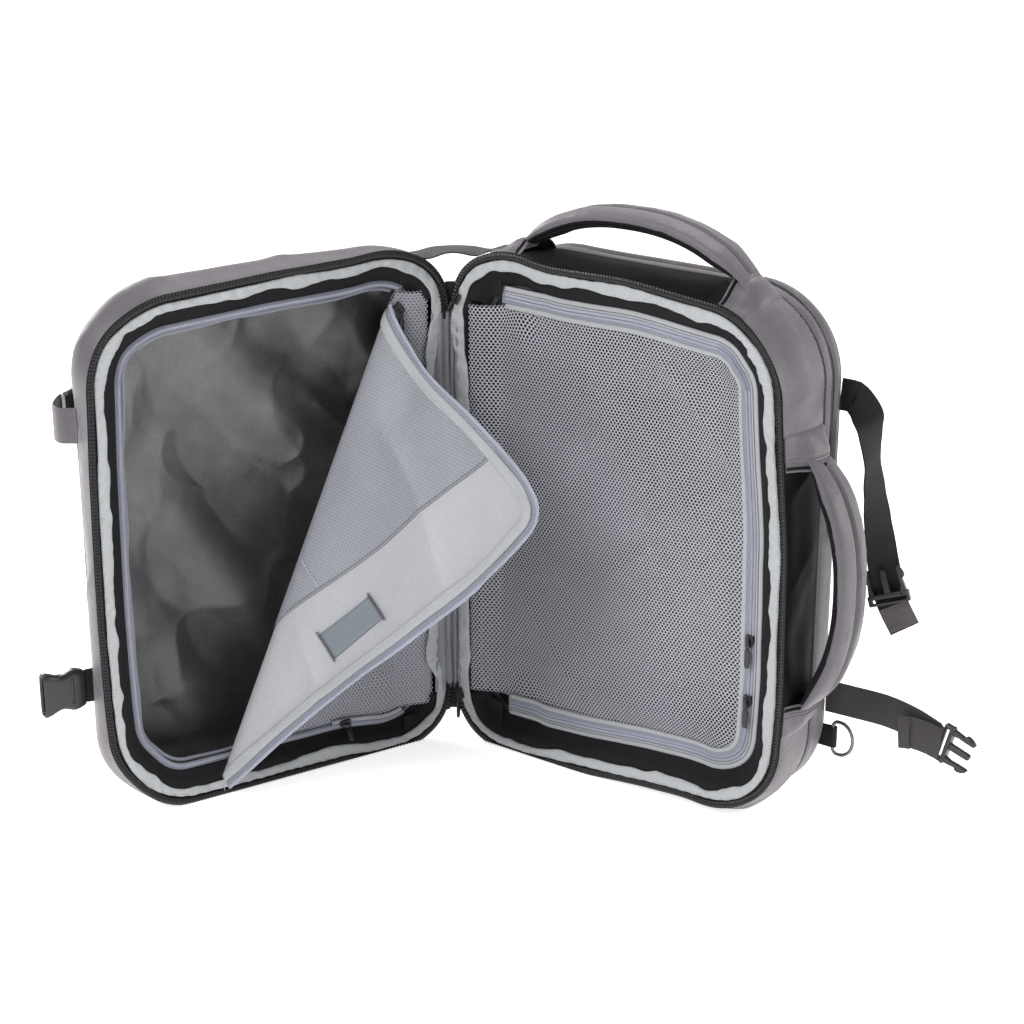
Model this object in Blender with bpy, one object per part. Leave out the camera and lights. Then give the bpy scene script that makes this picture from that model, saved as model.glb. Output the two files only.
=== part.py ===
"""Travel backpack that opens like a suitcase: a deep main shell with a laptop compartment and a back panel,
a shallow front shell on a fabric spine, zipped mesh panels in both, handles, straps and buckles.
Metres, +Z up. The origin is the centre of the main shell's flat base. +X runs across the main shell away
from the spine and +Y runs from its rim to its back panel. The front shell stands open on the spine."""
import bpy
import bmesh
import math
from mathutils import Matrix, Vector

for old in list(bpy.data.objects):
    bpy.data.objects.remove(old, do_unlink=True)
for old in list(bpy.data.meshes):
    bpy.data.meshes.remove(old)
for old in list(bpy.data.materials):
    bpy.data.materials.remove(old)

MM = 0.001
WIDTH = 332 * MM            # rim width of each shell
HEIGHT = 450 * MM           # rim height of each shell
CORNER = 76 * MM            # rim corner radius
SPINE_GAP = 2 * MM          # from each rim to the hinge axis
RIM_Y = -30 * MM            # the rim plane of the main shell
OPEN_TURN = 69.7            # degrees from opened flat to the rest pose
WALL = 4 * MM               # lined and padded shell wall
CLEAR = 0.4 * MM            # air between neighbouring pieces
MAIN_DEPTH = 58 * MM        # rim to first seam
LAPTOP_DEPTH = 84 * MM      # rim to second seam
BACK_DEPTH = 96 * MM        # rim to the back panel's face
FRONT_SEAM = 44 * MM        # rim to the front shell's seam
WEB = 30 * MM               # webbing width
WEB_T = 1.6 * MM            # webbing thickness
HANDLE_W = 38 * MM
HANDLE_T = 11 * MM
HANDLE_RISE = 49 * MM
ARC_STEPS = 6
HINGE = Vector((-WIDTH / 2 - SPINE_GAP, RIM_Y, 0))

PALETTE = {
    "shell_fabric": ((0.135, 0.125, 0.135), 0.75, 0.0),
    "back_foam": ((0.10, 0.095, 0.105), 0.85, 0.0),
    "lining": ((0.045, 0.045, 0.05), 0.7, 0.0),
    "facing": ((0.075, 0.075, 0.08), 0.75, 0.0),
    "coil_black": ((0.03, 0.028, 0.032), 0.5, 0.0),
    "coil_grey": ((0.36, 0.38, 0.47), 0.5, 0.0),
    "binding": ((0.62, 0.63, 0.65), 0.7, 0.0),
    "mesh_net": ((0.33, 0.34, 0.38), 0.7, 0.0),
    "ripstop": ((0.50, 0.51, 0.54), 0.6, 0.0),
    "webbing": ((0.05, 0.045, 0.05), 0.7, 0.0),
    "plastic": ((0.025, 0.023, 0.026), 0.35, 0.0),
    "metal": ((0.30, 0.27, 0.27), 0.3, 1.0),
}


def material(slot):
    found = bpy.data.materials.get(slot)
    if found:
        return found
    colour, rough, metal = PALETTE[slot]
    made = bpy.data.materials.new(slot)
    made.use_nodes = True
    shader = made.node_tree.nodes["Principled BSDF"]
    shader.inputs["Base Color"].default_value = (*colour, 1)
    shader.inputs["Roughness"].default_value = rough
    shader.inputs["Metallic"].default_value = metal
    made.diffuse_color = (*colour, 1)
    return made


def piece(name, points, faces, slot, origin=None, smooth=False):
    """One closed mesh object. A moving piece gets its origin on its joint's axis."""
    start = Vector(origin) if origin is not None else Vector((0, 0, 0))
    mesh = bpy.data.meshes.new(name)
    mesh.from_pydata([Vector(p) - start for p in points], [], faces)
    body = bmesh.new()
    body.from_mesh(mesh)
    bmesh.ops.recalc_face_normals(body, faces=body.faces)
    body.to_mesh(mesh)
    body.free()
    mesh.materials.append(material(slot))
    mesh.polygons.foreach_set("use_smooth", [smooth] * len(mesh.polygons))
    obj = bpy.data.objects.new(name, mesh)
    obj.location = start
    bpy.context.scene.collection.objects.link(obj)
    return obj


def loft(rings, closed=False):
    """Points and faces through rings of equal count, with flat caps unless the loft closes on itself."""
    count = len(rings[0])
    points = [p for ring in rings for p in ring]
    faces = []
    spans = len(rings) if closed else len(rings) - 1
    for i in range(spans):
        a = i * count
        b = ((i + 1) % len(rings)) * count
        for k in range(count):
            m = (k + 1) % count
            faces.append((a + k, a + m, b + m, b + k))
    if not closed:
        faces.append(tuple(range(count)))
        faces.append(tuple(range(len(points) - count, len(points))))
    return points, faces


# ---- the two shells' shared outline ----
RUN_V = HEIGHT - 2 * CORNER
RUN_H = WIDTH - 2 * CORNER
ARC = math.pi / 2 * CORNER
# lengths along the rim, from the foot of the spine side's straight run: up, over the top, down and back
LEGS = (RUN_V, ARC, RUN_H, ARC, RUN_V, ARC, RUN_H, ARC)
STARTS = [sum(LEGS[:i]) for i in range(9)]
TOTAL = STARTS[8]


def rim_point(s):
    """(across, up, outward normal) of the rim at length s; across is 0 on the spine side."""
    s = s % TOTAL
    leg = max(i for i in range(8) if STARTS[i] <= s + 1e-12)
    t = s - STARTS[leg]
    w, h, r = WIDTH, HEIGHT, CORNER
    if leg == 0:
        return (0, r + t, -1, 0)
    if leg == 2:
        return (r + t, h, 0, 1)
    if leg == 4:
        return (w, h - r - t, 1, 0)
    if leg == 6:
        return (w - r - t, 0, 0, -1)
    centre, first = {1: ((r, h - r), 180), 3: ((w - r, h - r), 90), 5: ((w - r, r), 0), 7: ((r, r), -90)}[leg]
    a = math.radians(first - math.degrees(t / r))
    n = (math.cos(a), math.sin(a))
    return (centre[0] + r * n[0], centre[1] + r * n[1], n[0], n[1])


def stations(first=0.0, last=None):
    """Rim lengths at which a sweep needs a section: its two ends and every bend between them."""
    bends = []
    for leg in range(16):
        base = STARTS[leg % 8] + (TOTAL if leg >= 8 else 0)
        parts = ARC_STEPS if leg % 2 else 1
        bends += [base + LEGS[leg % 8] * k / parts for k in range(parts)]
    if last is None:
        return [b for b in bends if b < TOTAL - 1e-9]
    return [first] + [b for b in bends if first + 1e-6 < b < last - 1e-6] + [last]


def main_at(across, depth, up):
    return Vector((-WIDTH / 2 + across, RIM_Y + depth, up))


TURN = Matrix.Rotation(math.radians(OPEN_TURN), 4, "Z")


def front_at(across, depth, up):
    flat = Vector((-2 * SPINE_GAP - across, depth, up)) + Vector((-WIDTH / 2, RIM_Y, 0))
    return HINGE + TURN @ (flat - HINGE)


def on_rim(at, s, inset, depth):
    across, up, nx, nz = rim_point(s)
    return at(across - nx * inset, depth, up - nz * inset)


def band(name, at, section, slot, first=0.0, last=None, smooth=False):
    """A section of (inset, depth) points swept along the rim, all round it or from first to last."""
    rings = [[on_rim(at, s, i, d) for i, d in section] for s in stations(first, last)]
    points, faces = loft(rings, closed=last is None)
    return piece(name, points, faces, slot, smooth=smooth)


def stack(name, at, section, slot, origin=None, keep=None):
    """A solid through whole outlines, each at an (inset, depth), with flat ends."""
    rings = []
    for inset, depth in section:
        ring = [on_rim(at, s, inset, depth) for s in stations()]
        rings.append(ring)
    points, faces = loft(rings)
    return piece(name, points, faces, slot, origin=origin)


def mm(*pairs):
    return [(a * MM, b * MM) for a, b in pairs]


# ---- main shell ----
band("main_gusset", main_at, mm((0, 3), (0, 58), (4, 58), (4, 3)), "shell_fabric")
stack("laptop_tray", main_at, mm((2, 58.4), (2, 84), (6, 84), (6, 61.4)), "shell_fabric")
stack("back_panel", main_at, mm((6, 84.4), (6, 90), (9, 94), (15, 96)), "back_foam")
ZIP_FIRST = STARTS[1] + 26 * MM
ZIP_LAST = TOTAL - 26 * MM
COIL = mm((0.6, 0.5), (6.4, 0.5), (6.4, 2.6), (0.6, 2.6))
TAPE = mm((7, 0.8), (18, 0.8), (18, 2.4), (7, 2.4))
band("main_zip", main_at, COIL, "coil_black", ZIP_FIRST, ZIP_LAST)
band("main_binding", main_at, TAPE, "binding")
band("main_facing", main_at, mm((18.4, 1.0), (31.6, 17.0), (31.6, 18.6), (18.4, 2.8)), "facing")
band("mesh_zip", main_at, mm((32, 16.6), (37.4, 16.6), (37.4, 18.8), (32, 18.8)), "coil_grey")
MESH_HINGE = main_at(38.6 * MM, 16.2 * MM, HEIGHT / 2)
stack("mesh_panel", main_at, mm((38.0, 17.2), (38.0, 18.8)), "mesh_net", origin=MESH_HINGE)
band("laptop_zip", main_at, mm((-0.4, 68), (1.6, 68), (1.6, 74), (-0.4, 74)), "coil_black",
     STARTS[1] - 60 * MM, STARTS[4] + 120 * MM)


# ---- zip sliders: body and pull ----
def slider(name, pull, at_point, along, out, slot="metal", drop=24 * MM, lean=0.0):
    """A slider straddling a zip at at_point, pointing along it, standing out of the cloth along out."""
    along, out = Vector(along).normalized(), Vector(out).normalized()
    side = along.cross(out)
    shape = [(-5.5, -2.2), (-2.5, -3.6), (5.0, -3.6), (5.5, -3.0), (5.5, 3.0), (5.0, 3.6), (-2.5, 3.6), (-5.5, 2.2)]
    rings = [[at_point + along * (a * MM) + side * (b * MM) + out * (h * MM) for a, b in shape] for h in (0, 3.2)]
    points, faces = loft(rings)
    piece(name, points, faces, slot, origin=at_point)
    hang = at_point + out * (4.9 * MM)
    down = (Vector((0, 0, -1)) + out * lean).normalized()
    across = down.cross(out).normalized()
    face = across.cross(down)
    tip = drop / MM
    outline = [(0.5, -1.2), (4, -2.4), (tip - 5, -2.4), (tip - 2, -2.0), (tip, -0.8),
               (tip, 0.8), (tip - 2, 2.0), (tip - 5, 2.4), (4, 2.4), (0.5, 1.2)]
    rings = [[hang + down * (a * MM) + across * (b * MM) + face * (h * MM) for a, b in outline]
             for h in (-0.7, 0.7)]
    points, faces = loft(rings)
    piece(pull, points, faces, "webbing", origin=hang)


FRONTWARD = Vector((0, -1, 0))
UP = Vector((0, 0, 1))
MESH_RUN = WIDTH - 35.6 * MM
slider("mesh_slider_upper", "mesh_pull_upper", main_at(MESH_RUN, 16.2 * MM, 162 * MM), UP, FRONTWARD, "plastic")
slider("mesh_slider_lower", "mesh_pull_lower", main_at(MESH_RUN, 16.2 * MM, 108 * MM), UP, FRONTWARD, "plastic")
OUT_X = Vector((1, 0, 0))
for name, pull, s_mid, turn, drop, lean in (
        ("main_slider_upper", "main_pull_upper", ZIP_FIRST + 9 * MM, 1, 18 * MM, 0.5),
        ("main_slider_lower", "main_pull_lower", ZIP_LAST - 9 * MM, -1, 24 * MM, 0.0)):
    spot = on_rim(main_at, s_mid, -0.5 * MM, 0)
    normal = on_rim(main_at, s_mid, -1.5 * MM, 0) - spot
    tangent = on_rim(main_at, s_mid + turn * MM, -0.5 * MM, 0) - spot
    slider(name, pull, spot, tangent, normal, "plastic", drop, lean)
slider("laptop_slider", "laptop_pull", main_at(WIDTH + 0.8 * MM, 71 * MM, 262 * MM), UP, OUT_X)


# ---- padded handles ----
def anchor(name, first, last):
    """A stitched band that holds one end of a handle against the shell's side."""
    band(name, main_at, mm((-0.4, 20), (-2.8, 22), (-2.8, 50), (-0.4, 52)), "shell_fabric", first, last)


def handle(name, centre, along, out):
    """A padded arch between two anchors; centre is between its ends on the shell's face."""
    width = Vector((0, 1, 0))
    half = 112 * MM
    rings = []
    for i in range(15):
        t = -1 + 2 * i / 14
        rise = 7.5 * MM + (HANDLE_RISE - 7.5 * MM - HANDLE_T / 2) * (1 - abs(t) ** 2.2) ** 0.85
        ahead = 1e-3
        t2 = min(1, t + ahead)
        t1 = max(-1, t - ahead)
        r2 = (HANDLE_RISE - 7.5 * MM - HANDLE_T / 2) * (1 - abs(t2) ** 2.2) ** 0.85
        r1 = (HANDLE_RISE - 7.5 * MM - HANDLE_T / 2) * (1 - abs(t1) ** 2.2) ** 0.85
        tangent = (along * (half * (t2 - t1)) + out * (r2 - r1)).normalized()
        if abs(t) > 0.999:
            tangent = (along + out * (-0.6 if t > 0 else 0.6)).normalized()
        normal = width.cross(tangent)
        if normal.dot(out) < 0:
            normal = -normal
        grow = min(1, (1 - abs(t)) / 0.28 + 0.02)
        w = (9 * (1 - grow) + HANDLE_W / MM / 2 * grow) * MM
        h = (1.5 * (1 - grow) + HANDLE_T / MM / 2 * grow) * MM
        middle = centre + along * (half * t) + out * rise
        outline = [(-1, 0), (-0.8, 0.75), (-0.35, 1), (0, 0.82), (0.35, 1), (0.8, 0.75), (1, 0),
                   (0.8, -0.7), (0, -0.9), (-0.8, -0.7)]
        rings.append([middle + width * (w * a) + normal * (h * b) for a, b in outline])
    points, faces = loft(rings)
    piece(name, points, faces, "shell_fabric", origin=centre + out * (7.5 * MM), smooth=True)


TOP_MID = STARTS[2] + RUN_H / 2
SIDE_MID = STARTS[4] + (HEIGHT - CORNER - 217 * MM)
anchor("top_anchor_near", TOP_MID - 122 * MM, TOP_MID - 96 * MM)
anchor("top_anchor_far", TOP_MID + 96 * MM, TOP_MID + 122 * MM)
anchor("side_anchor_upper", SIDE_MID - 124 * MM, SIDE_MID - 98 * MM)
anchor("side_anchor_lower", SIDE_MID + 98 * MM, SIDE_MID + 124 * MM)
handle("top_handle", main_at(WIDTH / 2, 36 * MM, HEIGHT - 0.5 * MM), OUT_X, UP)
handle("side_handle", main_at(WIDTH, 36 * MM, 217 * MM), UP, OUT_X)


# ---- webbing and buckles ----
def ribbon(name, path, across, slot="webbing", width=WEB, thick=WEB_T, origin=None):
    """Flat webbing along a path of points; across gives the width direction at each point."""
    rings = []
    for i, p in enumerate(path):
        q = path[min(i + 1, len(path) - 1)]
        o = path[max(i - 1, 0)]
        tangent = (q - o).normalized()
        side = (across[i] - tangent * across[i].dot(tangent)).normalized()
        normal = tangent.cross(side)
        corners = ((-1, -1), (1, -1), (1, 1), (-1, 1))
        rings.append([p + side * (a * width / 2) + normal * (b * thick / 2) for a, b in corners])
    points, faces = loft(rings)
    return piece(name, points, faces, slot, origin=origin)


def plate(name, outline, at_point, along, side, thick, slot, origin=None):
    """A flat shape of (along, side) millimetres, thick through."""
    along, side = Vector(along).normalized(), Vector(side).normalized()
    up = along.cross(side).normalized()
    rings = [[at_point + along * (a * MM) + side * (b * MM) + up * (h * thick / 2) for a, b in outline]
             for h in (-1, 1)]
    points, faces = loft(rings)
    return piece(name, points, faces, slot, origin=origin)


MALE = [(0, -17.5), (9, -17.5), (9, -16), (20, -14.5), (22, -17), (27, -16), (31, -12.5), (21, -11.5), (9, -12),
        (9, -3), (29, -3), (29, 3), (9, 3), (9, 12), (21, 11.5), (31, 12.5), (27, 16), (22, 17), (20, 14.5),
        (9, 16), (9, 17.5), (0, 17.5)]


def box_ring(centre, along, side, up, half_side, half_up, shift):
    return [centre + along * shift + side * (a * half_side) + up * (b * half_up)
            for a, b in ((-1, -1), (1, -1), (1, 1), (-1, 1))]


def female(name, root, along, side, origin):
    """The socket half of a buckle: a flat box, open at its far end."""
    along, side = Vector(along).normalized(), Vector(side).normalized()
    up = along.cross(side)
    rings = [box_ring(root, along, side, up, a * MM, b * MM, s * MM)
             for s, a, b in ((0, 15, 5.2), (10, 18, 5.6), (22, 15.5, 5.6), (37, 19, 5.8),
                             (37, 16.5, 3.6), (22, 13.4, 3.4), (12, 13.4, 3.4))]
    points, faces = loft(rings)
    piece(name, points, faces, "plastic", origin=origin)


# upper compression strap: leaves the back seam, twists once and hangs to its buckle
UP_ROOT = Vector((167.8 * MM, 57.5 * MM, 362 * MM))
path_up = [UP_ROOT, Vector((0.178, 0.058, 0.3612)), Vector((0.1885, 0.059, 0.346)), Vector((0.193, 0.060, 0.317)),
           Vector((0.196, 0.061, 0.290)), Vector((0.203, 0.062, 0.247)), Vector((0.2105, 0.063, 0.212)),
           Vector((0.2175, 0.063, 0.192)), Vector((0.2310, 0.062, 0.172))]
turns = [(0, 0.15, 1), (0, 0.35, 0.9), (0.15, 0.8, 0.6), (0.5, 0.85, 0.1), (0.8, 0.6, 0.05), (0.93, 0.35, 0.1),
         (0.95, 0.28, 0.12), (0.95, 0.28, 0.2), (0.9, 0.28, 0.4)]
fine_path = []
fine_turns = []
for i in range(len(path_up) - 1):
    before, a, b, after = (path_up[min(max(k, 0), len(path_up) - 1)] for k in (i - 1, i, i + 1, i + 2))
    for k in range(5):
        t = k / 5
        fine_path.append(((a * 2) + (b - before) * t + (before * 2 - a * 5 + b * 4 - after) * t ** 2
                          + (a * 3 - before - b * 3 + after) * t ** 3) / 2)
        fine_turns.append(Vector(turns[i]).normalized().lerp(Vector(turns[i + 1]).normalized(), t))
fine_path.append(path_up[-1])
fine_turns.append(Vector(turns[-1]))
ribbon("upper_strap", fine_path, fine_turns, origin=UP_ROOT)
rise = (path_up[-3] - path_up[-2]).normalized()
up_side = Vector((0.95, 0.28, 0.12))
up_side = (up_side - rise * up_side.dot(rise)).normalized()
up_out = rise.cross(up_side)
if up_out.y > 0:
    up_out = -up_out
UP_BUCKLE = path_up[-2] + up_out * (5.5 * MM)
plate("upper_male_buckle", MALE, UP_BUCKLE, rise, up_side, 7 * MM, "plastic", origin=UP_BUCKLE)

# lower compression strap: stands out from the back seam, its buckle at the end
LOW_ROOT = Vector((167.8 * MM, 57.5 * MM, 96 * MM))
path_low = [LOW_ROOT, Vector((0.190, 0.059, 0.096)), Vector((0.220, 0.061, 0.0955)), Vector((0.246, 0.060, 0.092)),
            Vector((0.268, 0.058, 0.086))]
ribbon("lower_strap", path_low, [UP] * 5, origin=LOW_ROOT)
low_dir = (path_low[-1] - path_low[-2]).normalized()
LOW_BUCKLE = path_low[-1] + low_dir * (1.5 * MM)
low_side = (UP - low_dir * low_dir.z).normalized()
plate("lower_male_buckle", MALE, LOW_BUCKLE + low_dir * (2 * MM), low_dir, low_side, 7 * MM, "plastic",
      origin=LOW_BUCKLE)


# ---- back side: shoulder straps with adjusters, lower webbing and hooks, and rings at the foot ----
def shoulder(side, sign):
    face = RIM_Y + BACK_DEPTH
    top = Vector((sign * 42 * MM, face + 7.2 * MM, 408 * MM))
    rings = []
    for i in range(10):
        t = i / 9
        x = sign * (42 + 52 * t ** 1.4 - 10 * math.sin(math.pi * t)) * MM
        z = (408 - 246 * t) * MM
        half = (27 + 6 * math.sin(math.pi * min(1, t * 1.3)) - 12 * max(0, t - 0.6)) * MM
        thick = (6.2 - 1.5 * t) * MM
        y = face + 0.6 * MM + thick
        outline = [(-1, 0), (-0.8, 0.8), (0, 1), (0.8, 0.8), (1, 0), (0.8, -0.8), (0, -1), (-0.8, -0.8)]
        rings.append([Vector((x + a * half, y + b * thick, z)) for a, b in outline])
    points, faces = loft(rings)
    piece("shoulder_strap_" + side, points, faces, "back_foam", origin=top, smooth=True)
    x = sign * 94 * MM
    y = face + 4.5 * MM
    frame = [(0, -15), (22, -15), (22, 15), (0, 15)]
    hole = [(4, -12.5), (18, -12.5), (18, 12.5), (4, 12.5)]
    base = Vector((x, y, 161 * MM))
    loops = []
    for pts, h in ((frame, -1.6), (frame, 1.6), (hole, 1.6), (hole, -1.6)):
        loops.append([base + Vector((b * MM, h * MM, -a * MM)) for a, b in pts])
    points, faces = loft(loops, closed=True)
    piece("adjuster_" + side, points, faces, "plastic", origin=top)
    web = [Vector((x, face + 1.6 * MM, 152 * MM)), Vector((x, face + 1.6 * MM, 110 * MM)),
           Vector((sign * 98 * MM, face + 1.8 * MM, 86 * MM))]
    ribbon("strap_web_" + side, web, [Vector((1, 0, 0))] * 3, width=24 * MM, origin=top)
    hook_top = Vector((sign * 98 * MM, face + 2.2 * MM, 84 * MM))
    hook = [(0.6, -14), (8, -14), (12, -8), (30, -8), (36, -3), (36, 4), (31, 8.5), (22, 8.5), (22, 5), (29, 4.5),
            (31.5, 1), (29, -3), (14, -3), (12, 8), (8, 14), (0.6, 14)]
    outline = [(a, b * sign) for a, b in hook]
    plate("strap_hook_" + side, outline, hook_top, (0, 0, -1), (1, 0, 0), 3.2 * MM, "plastic", origin=hook_top)
    ring_tab = Vector((sign * 165 * MM, 0, 0))
    tab_y = RIM_Y + 87 * MM
    tab = [(164, -1), (170.4, -1), (170.4, 1), (164, 1)]
    loops = []
    for z in (50 * MM, 70 * MM):
        loops.append([Vector((sign * a * MM, tab_y + b * MM, z)) for a, b in tab])
    points, faces = loft(loops)
    piece("ring_tab_" + side, points, faces, "webbing")
    pin = Vector((sign * 172.8 * MM, tab_y, 60 * MM))
    wire = 1.6 * MM
    rings = []
    path = [(0, -11), (0, -4), (0, 4), (0, 11), (5, 15), (11, 14), (16.5, 9), (19, 0), (16.5, -9), (11, -14),
            (5, -15)]
    for i, (a, b) in enumerate(path):
        nxt = path[(i + 1) % len(path)]
        prv = path[i - 1]
        tangent = Vector((nxt[0] - prv[0], 0, nxt[1] - prv[1])).normalized()
        outer = Vector((tangent.z, 0, -tangent.x))
        mid = Vector((a * MM, 0, b * MM))
        turn = [mid + (outer * math.cos(k * math.pi / 3) + Vector((0, 1, 0)) * math.sin(k * math.pi / 3)) * wire
                for k in range(6)]
        rings.append([pin + Vector((sign * v.x, v.y, v.z)) for v in turn])
    points, faces = loft(rings, closed=True)
    piece("d_ring_" + side, points, faces, "metal", origin=pin, smooth=True)


shoulder("left", -1)
shoulder("right", 1)


# ---- spine: one leaf of pleated cloth each side, and the webbing that bridges the two shells behind ----
def leaf(name, at):
    corners = [(-SPINE_GAP / MM + 0.3, 0.6), (6.4, 0.6), (6.4, 2.4), (-SPINE_GAP / MM + 0.3, 2.4)]
    rings = [[at(a * MM, d * MM, z * MM) for a, d in corners] for z in (52, 386)]
    points, faces = loft(rings)
    piece(name, points, faces, "facing")


leaf("spine_leaf_main", main_at)
leaf("spine_leaf_front", front_at)
bridge_mid = (main_at(-6 * MM, 42 * MM, 0.424) + front_at(-6 * MM, 42 * MM, 0.424)) / 2
bridge = [main_at(7 * MM, 34 * MM, 0.424), main_at(-6 * MM, 39 * MM, 0.424), bridge_mid,
          front_at(-6 * MM, 39 * MM, 0.424), front_at(8 * MM, 34 * MM, 0.424)]
side_up = Vector((0, 0, 1))


# ---- front shell ----
stack("front_panel", front_at, mm((70, 66), (38, 62.5), (22, 56), (15, 49), (12.6, 44.4), (8.6, 44.4), (11, 50),
                                  (18, 59), (36, 66), (70, 70)), "shell_fabric")
band("front_gusset", front_at, mm((0, 3), (3, 20), (8.6, 44), (12.6, 44), (7, 20), (4, 3)), "shell_fabric")
band("front_zip", front_at, COIL, "coil_black", ZIP_FIRST, ZIP_LAST)
band("front_binding", front_at, TAPE, "binding")
band("front_facing", front_at, mm((18.4, 1.0), (27.6, 13.0), (27.6, 14.6), (18.4, 2.8)), "facing")
band("divider_zip", front_at, mm((28, 13.0), (33.4, 13.0), (33.4, 15.2), (28, 15.2)), "coil_grey")

# the divider: a fixed part beside the spine and foot, and a flap folded over along a slanted line
INSET = 34 * MM
FOLD_TOP = Vector((50 * MM, HEIGHT - INSET))
FOLD_LOW = Vector((233 * MM, INSET))
DIV_NEAR = 13.6 * MM
DIV_FAR = 15.2 * MM
DIV_FOLD = DIV_NEAR - 0.3 * MM


def divider_outline():
    out = []
    for s in stations():
        across, up, nx, nz = rim_point(s)
        out.append(Vector((across - nx * INSET, up - nz * INSET)))
    return out


def split(side, gap):
    """The divider's outline on one side of the fold line, in order round it."""
    line = (FOLD_LOW - FOLD_TOP).normalized()
    normal = Vector((-line.y, line.x)) * side
    ring = divider_outline()
    kept = []
    for i, p in enumerate(ring):
        q = ring[(i + 1) % len(ring)]
        a = (p - FOLD_TOP).dot(normal) - gap
        b = (q - FOLD_TOP).dot(normal) - gap
        if a >= 0:
            kept.append(p)
        if a * b < 0:
            kept.append(p + (q - p) * (a / (a - b)))
    return kept


FOLD_A = front_at(FOLD_TOP.x, DIV_FOLD, FOLD_TOP.y)
FOLD_B = front_at(FOLD_LOW.x, DIV_FOLD, FOLD_LOW.y)
FOLD_AXIS = (FOLD_B - FOLD_A).normalized()
fixed = split(1, 0.5 * MM)
loose = split(-1, 0.5 * MM)
if sum(p.x for p in fixed) / len(fixed) > sum(p.x for p in loose) / len(loose):
    fixed, loose = loose, fixed
points, faces = loft([[front_at(p.x, d, p.y) for p in fixed] for d in (DIV_NEAR, DIV_FAR)])
piece("divider_panel", points, faces, "mesh_net")
FOLD = Matrix.Rotation(-math.radians(180 - OPEN_TURN), 4, FOLD_AXIS)
folded = []
for d in (DIV_NEAR, DIV_FAR):
    ring = [front_at(p.x, d, p.y) for p in loose]
    folded.append([FOLD_A + FOLD @ (p - FOLD_A) for p in ring])
points, faces = loft(folded)
piece("divider_flap", points, faces, "ripstop", origin=(FOLD_A + FOLD_B) / 2)

FRONT_IN = front_at(0, -1, 0) - front_at(0, 0, 0)
FRONT_AWAY = front_at(1, 0, 0) - front_at(0, 0, 0)
TOP_STOP = STARTS[1] + CORNER * math.radians(40)
top_run = on_rim(front_at, TOP_STOP + 0.001, 31.4 * MM, 12.3 * MM)
top_spot = on_rim(front_at, TOP_STOP, 31.4 * MM, 12.3 * MM)
slider("divider_slider_top", "divider_pull_top", top_spot, top_run - top_spot, FRONT_IN, "plastic", 28 * MM)
slider("divider_slider_low", "divider_pull_low", front_at(104 * MM, 12.3 * MM, 31.4 * MM),
       -FRONT_AWAY, FRONT_IN, "plastic", 14.5 * MM, 0.62)

# buckle sockets on the front shell's far side
SOCKET_LOW = front_at(WIDTH + 5 * MM, 30 * MM, 118 * MM)
away = FRONT_AWAY.normalized()
deeper = -FRONT_IN.normalized()
loops = []
for z in (103 * MM, 133 * MM):
    corners = ((0.6, 29.0), (4.4, 29.0), (4.4, 31.0), (0.6 - 0.2, 31.0))
    loops.append([front_at(WIDTH + (a - 3.4 + 3.4) * MM, d * MM, z) for a, d in corners])
points, faces = loft(loops)
piece("socket_tab_lower", points, faces, "webbing")
female("female_buckle_lower", SOCKET_LOW + away * (1 * MM), away, UP, SOCKET_LOW)
tab_path = [front_at(WIDTH + 0.5 * MM, 33 * MM, 0.343), front_at(WIDTH + 9 * MM, 38 * MM, 0.343),
            front_at(WIDTH + 8 * MM, 52 * MM, 0.343), front_at(WIDTH - 2 * MM, 68 * MM, 0.343),
            front_at(WIDTH - 8 * MM, 74 * MM, 0.343)]
ribbon("socket_tab_upper", tab_path, [UP] * 5, slot="shell_fabric")
SOCKET_UP = front_at(WIDTH - 9.5 * MM, 75 * MM, 0.343)
female("female_buckle_upper", SOCKET_UP - away * (1 * MM), -away, UP, SOCKET_UP)

ribbon("spine_bridge", bridge, [side_up] * len(bridge))
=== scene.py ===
"""Looks of the travel backpack: cloth, zips, net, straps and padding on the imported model's frame.
Metres, +Z up. Lengths along a rim start at the foot of the spine side's straight run and go up."""
import bpy
import math
import numpy as np
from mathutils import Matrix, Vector


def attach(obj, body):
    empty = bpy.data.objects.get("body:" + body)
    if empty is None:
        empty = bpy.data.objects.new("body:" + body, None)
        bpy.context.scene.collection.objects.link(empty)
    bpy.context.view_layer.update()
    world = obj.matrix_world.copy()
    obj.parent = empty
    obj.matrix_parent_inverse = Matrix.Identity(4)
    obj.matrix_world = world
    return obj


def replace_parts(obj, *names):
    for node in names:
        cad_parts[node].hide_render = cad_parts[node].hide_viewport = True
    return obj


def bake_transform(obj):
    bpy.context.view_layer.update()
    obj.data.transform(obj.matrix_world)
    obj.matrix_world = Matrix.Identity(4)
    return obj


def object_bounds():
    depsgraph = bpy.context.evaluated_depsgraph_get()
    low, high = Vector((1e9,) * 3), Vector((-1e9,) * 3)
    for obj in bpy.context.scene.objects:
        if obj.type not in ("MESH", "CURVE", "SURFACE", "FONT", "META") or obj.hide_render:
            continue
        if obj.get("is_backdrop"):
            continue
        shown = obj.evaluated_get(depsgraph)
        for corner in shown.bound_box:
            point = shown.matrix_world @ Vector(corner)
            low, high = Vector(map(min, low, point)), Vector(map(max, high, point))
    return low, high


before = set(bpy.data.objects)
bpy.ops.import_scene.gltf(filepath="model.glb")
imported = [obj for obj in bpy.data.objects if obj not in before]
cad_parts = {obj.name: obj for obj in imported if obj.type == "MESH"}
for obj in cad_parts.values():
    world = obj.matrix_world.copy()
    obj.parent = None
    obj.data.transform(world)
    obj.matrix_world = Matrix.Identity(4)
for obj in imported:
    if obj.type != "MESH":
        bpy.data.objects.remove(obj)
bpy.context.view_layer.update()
COLLECTION = bpy.context.scene.collection

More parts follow.
